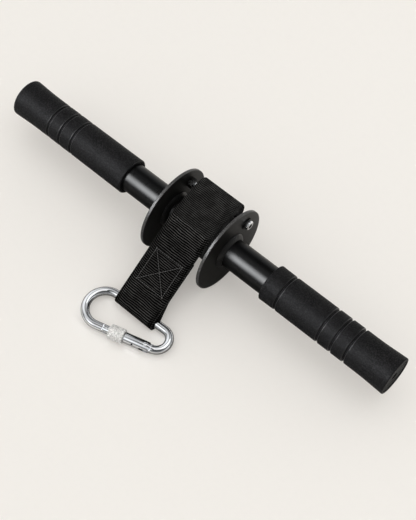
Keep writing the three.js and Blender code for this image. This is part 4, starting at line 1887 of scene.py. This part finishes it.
    def plunger(self, bench: Workbench) -> None:
        """Makes the plunger between the spring and the heel's tongue.

        Args:
            bench: The workbench.
        """
        back = -self.hinge_slot - self.plunger_length
        shoulder = -self.hinge_slot - self.slip
        wide = self.bore_radius - self.slip
        tip = -self.hinge_radius - self.seat
        corners = [
            (back, 0, 0),
            (back, wide, self.edge_round),
            (shoulder, wide, self.step_round),
            (shoulder, self.plunger_neck, self.relief_round),
            (tip, self.plunger_tip, self.step_round),
            (tip, 0, 0),
        ]
        plunger = turned(softened(corners, closed=False), self.hole_sides)
        bench.make("gate_plunger", plunger.moved(self.gate_frame), BRIGHT_STEEL, Body.GATE)

    def sleeve(self, bench: Workbench, knurl: Recipe) -> None:
        """Makes the lock sleeve with its rolled knurl.

        Args:
            bench: The workbench.
            knurl: The recipe of the knurl.
        """
        start = self.sleeve_start
        end = start + self.sleeve_length
        outer = self.sleeve_radius
        bore = self.thread_radius + self.seat
        soft = self.sleeve_soft
        plain = self.sleeve_length - 2 * soft
        steps = self.sleeve_steps
        wall = [(start + soft + plain * step / steps, outer) for step in range(steps + 1)]
        shape = turned([(start, bore), (start, outer - soft), *wall, (end, outer - soft), (end, bore)],
                       self.sleeve_sides)
        knurled = outer - self.knurl_margin
        shape.values = {
            "angle": [math.atan2(point.z, point.y) for point in shape.points],
            "along": [point.x for point in shape.points],
            "knurled": [float(math.hypot(point.y, point.z) > knurled) for point in shape.points],
        }
        piece = bench.blank("lock_sleeve_fine", shape.moved(self.gate_frame))
        slant = self.knurl_diamonds / (2 * outer)
        knurl.use(bench, piece, SLEEVE_STEEL, Diamonds=self.knurl_diamonds, Slant=slant,
                  Depth=self.knurl_depth * MM)
        bench.dress(piece, SLEEVE_STEEL, Body.SLEEVE, replaces="lock_sleeve", sharp=self.sleeve_sharp)


# Studio


@dataclass(frozen=True)
class Lamp:
    """One soft lamp, in metres and watts."""

    name: str
    place: tuple[float, float, float]
    width: float
    power: float

    def build(self) -> None:
        """Hangs the lamp and turns it to the object."""
        data = bpy.data.lights.new(self.name, "AREA")
        data.shape = "SQUARE"
        data.size = self.width
        data.energy = self.power
        lamp = placed(self.name, data)
        lamp.location = self.place
        lamp.rotation_euler = (-Vector(self.place)).to_track_quat("-Z", "Y").to_euler()


@dataclass(frozen=True)
class Softbox:
    """A soft bright patch of the sky, which only shows in what is glossy.

    Its brightness falls off from its middle to its reach, an angle. Polished steel mirrors it at a
    brightness of its own, because it would clip at the one that coated steel shows.
    """

    toward: tuple[float, float, float]
    reach: float
    falloff: float
    brightness: float
    mirrored: float

    def glow(self, bench: NodeBench, direction: Any, mirror: Any) -> bpy.types.NodeSocket:
        """Adds the patch to the world.

        Args:
            bench: The world's nodes.
            direction: The socket with the direction that is looked in.
            mirror: The socket that is 1 for polished steel and 0 for other gloss.

        Returns:
            The socket with the patch's brightness in that direction.
        """
        middle = tuple(Vector(self.toward).normalized())
        facing = bench.add("ShaderNodeVectorMath", {0: direction, 1: middle}, operation="DOT_PRODUCT")
        away = bench.math("ARCCOSINE", facing.outputs["Value"])
        near = bench.ramp(away, 0.0, self.reach, 1.0, 0.0)
        strength = bench.ramp(mirror, 0.0, 1.0, self.brightness, self.mirrored)
        return bench.math("MULTIPLY", bench.math("POWER", near, self.falloff), strength)


@dataclass
class Studio:
    """The floor, the light and the camera of the photograph.

    The floor and the sky have one colour that lights the object and another that shows. What is glossy
    sees a darker ceiling, pale paper on one side, a dim room on the other, and the floor darkened near the
    object. The camera's place is in millimetres and degrees, the floor's sizes are in metres.
    """

    floor_half: float = 4.0
    floor_roughness: float = 0.9
    floor_specular: float = 0.1
    floor_color: Color = (0.64, 0.632, 0.625, 1.0)
    floor_shown: Color = (0.225, 0.214, 0.202, 1.0)
    floor_shaded: Color = (0.19, 0.187, 0.183, 1.0)
    shade_reach: Pair = (0.34, 0.165)
    shade_core: float = 0.45
    sky_color: Color = (1.0, 0.975, 0.92, 1.0)
    gloss_color: Color = (0.97, 0.985, 1.0, 1.0)
    sky_light: float = 0.92
    sky_shown: float = 0.9
    ceiling_shown: float = 0.08
    room_shown: float = 0.25
    paper_shown: float = 0.9
    room_turn: float = 0.5
    ceiling_from: float = 0.60
    walls_to: float = 0.30
    azimuth: float = -41.19
    elevation: float = 61.34
    distance: float = 1253.5
    aside: float = -7.96
    above: float = 31.83
    focal_pixels: float = 1243.2
    photo_width: float = 416.0
    sensor: float = 36.0
    clip: Pair = (0.05, 50.0)
    lamp: Lamp = Lamp("lamp_top", (0.25, 0.2, 1.7), width=1.3, power=4.5)
    softboxes: tuple[Softbox, ...] = (
        Softbox((-0.316, -0.660, 0.682), math.radians(27), falloff=0.8, brightness=42.0, mirrored=1.5),
        Softbox((-0.70, 0.08, 0.71), math.radians(34), falloff=0.7, brightness=1.0, mirrored=1.1),
        Softbox((0.25, 0.45, 0.86), math.radians(30), falloff=0.8, brightness=0.3, mirrored=0.8),
    )

    def build(self, bench: Workbench) -> None:
        """Sets the camera, the floor, the light and the view's colours.

        Args:
            bench: The workbench.
        """
        self.camera(bench)
        self.floor()
        self.light()
        bpy.context.scene.view_settings.view_transform = "Standard"

    def camera(self, bench: Workbench) -> None:
        """Stands the camera where the photograph was taken from.

        Args:
            bench: The workbench.
        """
        azimuth = math.radians(self.azimuth)
        elevation = math.radians(self.elevation)
        level = math.cos(elevation)
        forward = Vector((level * math.sin(azimuth), level * math.cos(azimuth), -math.sin(elevation)))
        right = Vector((math.cos(azimuth), -math.sin(azimuth), 0))
        up = right.cross(forward)
        data = bpy.data.cameras.new("camera")
        data.sensor_fit = "HORIZONTAL"
        data.sensor_width = self.sensor
        data.lens = self.sensor * self.focal_pixels / self.photo_width
        data.clip_start, data.clip_end = self.clip
        eye = bench.placement @ -(right * self.aside + up * self.above + forward * self.distance)
        camera = placed("camera", data)
        turn = Matrix((right, up, -forward)).transposed().to_4x4()
        camera.matrix_world = Matrix.Translation(eye) @ turn
        bpy.context.scene.camera = camera

    def floor(self) -> None:
        """Lays the pale floor."""
        half = self.floor_half
        mesh = bpy.data.meshes.new("floor")
        corners = box_outline(-half, half, -half, half)
        mesh.from_pydata([(x, y, 0) for x, y in corners], [], [(0, 1, 2, 3)])
        mesh.materials.append(self.floor_material())
        placed("floor", mesh)

    def floor_material(self) -> bpy.types.Material:
        """Makes the floor's material, which glossy rays see darker near the object.

        Returns:
            The new material.
        """
        material = bpy.data.materials.new("floor")
        material.use_nodes = True
        shader = material.node_tree.nodes["Principled BSDF"].inputs
        bench = NodeBench(material.node_tree)
        rays = bench.add("ShaderNodeLightPath").outputs
        place = bench.add("ShaderNodeTexCoord").outputs["Object"]
        span = (1 / self.shade_reach[0], 1 / self.shade_reach[1], 0.0)
        spread = bench.add("ShaderNodeVectorMath", {0: place, 1: span}, operation="MULTIPLY").outputs[0]
        away = bench.add("ShaderNodeVectorMath", {0: spread}, operation="LENGTH").outputs["Value"]
        near = bench.ramp(away, self.shade_core, 1.0, 1.0, 0.0)
        shaded = bench.math("MULTIPLY", rays["Is Glossy Ray"], near)
        seen = bench.math("MAXIMUM", rays["Is Camera Ray"], rays["Is Transmission Ray"])
        mirrored = bench.math("SUBTRACT", rays["Is Glossy Ray"], shaded)
        bench.feed(shader["Base Color"], bench.blend(shaded, self.floor_color, self.floor_shaded))
        bench.feed(shader["Roughness"], self.floor_roughness)
        bench.feed(shader["Specular IOR Level"], self.floor_specular)
        bench.feed(shader["Emission Color"], self.floor_shown)
        bench.feed(shader["Emission Strength"], bench.math("MAXIMUM", seen, mirrored))
        return material

    def light(self) -> None:
        """Lights the set with a pale sky and a soft lamp, and gives what is glossy a studio to show."""
        world = bpy.data.worlds.new("studio")
        bpy.context.scene.world = world
        world.use_nodes = True
        back = world.node_tree.nodes["Background"].inputs
        bench = NodeBench(world.node_tree)
        rays = bench.add("ShaderNodeLightPath").outputs
        toward = bench.add("ShaderNodeTexCoord").outputs["Generated"]
        apart = bench.add("ShaderNodeSeparateXYZ", {0: toward}).outputs
        walls = bench.ramp(apart["Y"], -self.room_turn, self.room_turn, self.room_shown, self.paper_shown)
        glossy = bench.ramp(apart["Z"], self.walls_to, self.ceiling_from, walls, self.ceiling_shown)
        for softbox in self.softboxes:
            glossy = bench.math("ADD", glossy, softbox.glow(bench, toward, rays["Is Singular Ray"]))
        seen = bench.math("MAXIMUM", rays["Is Camera Ray"], rays["Is Transmission Ray"])
        plain = bench.ramp(seen, 0.0, 1.0, self.sky_light, self.sky_shown)
        bench.feed(back["Color"], bench.blend(rays["Is Glossy Ray"], self.sky_color, self.gloss_color))
        bench.feed(back["Strength"], bench.ramp(rays["Is Glossy Ray"], 0.0, 1.0, plain, glossy))
        self.lamp.build()


def main() -> None:
    """Builds the pieces in order."""
    logging.basicConfig(level=logging.INFO, format="%(message)s")
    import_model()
    bench = Workbench()
    Studio().build(bench)
    ribs, stitches, coil, knurl = rib_recipe(), stitch_recipe(), coil_recipe(), knurl_recipe()
    Bar().build(bench)
    Grip(Side.RIGHT, collar=True).build(bench)
    Grip(Side.LEFT, collar=False).build(bench)
    bolt = Bolt()
    Spool().build(bench, bolt)
    bolt.build(bench, coil)
    carabiner = Carabiner()
    carabiner.measure(bench)
    webbing = Webbing()
    webbing.measure(bench, bolt, carabiner)
    webbing.build(bench, ribs, stitches)
    carabiner.build(bench, coil, knurl)


if __name__ == "__main__":
    main()
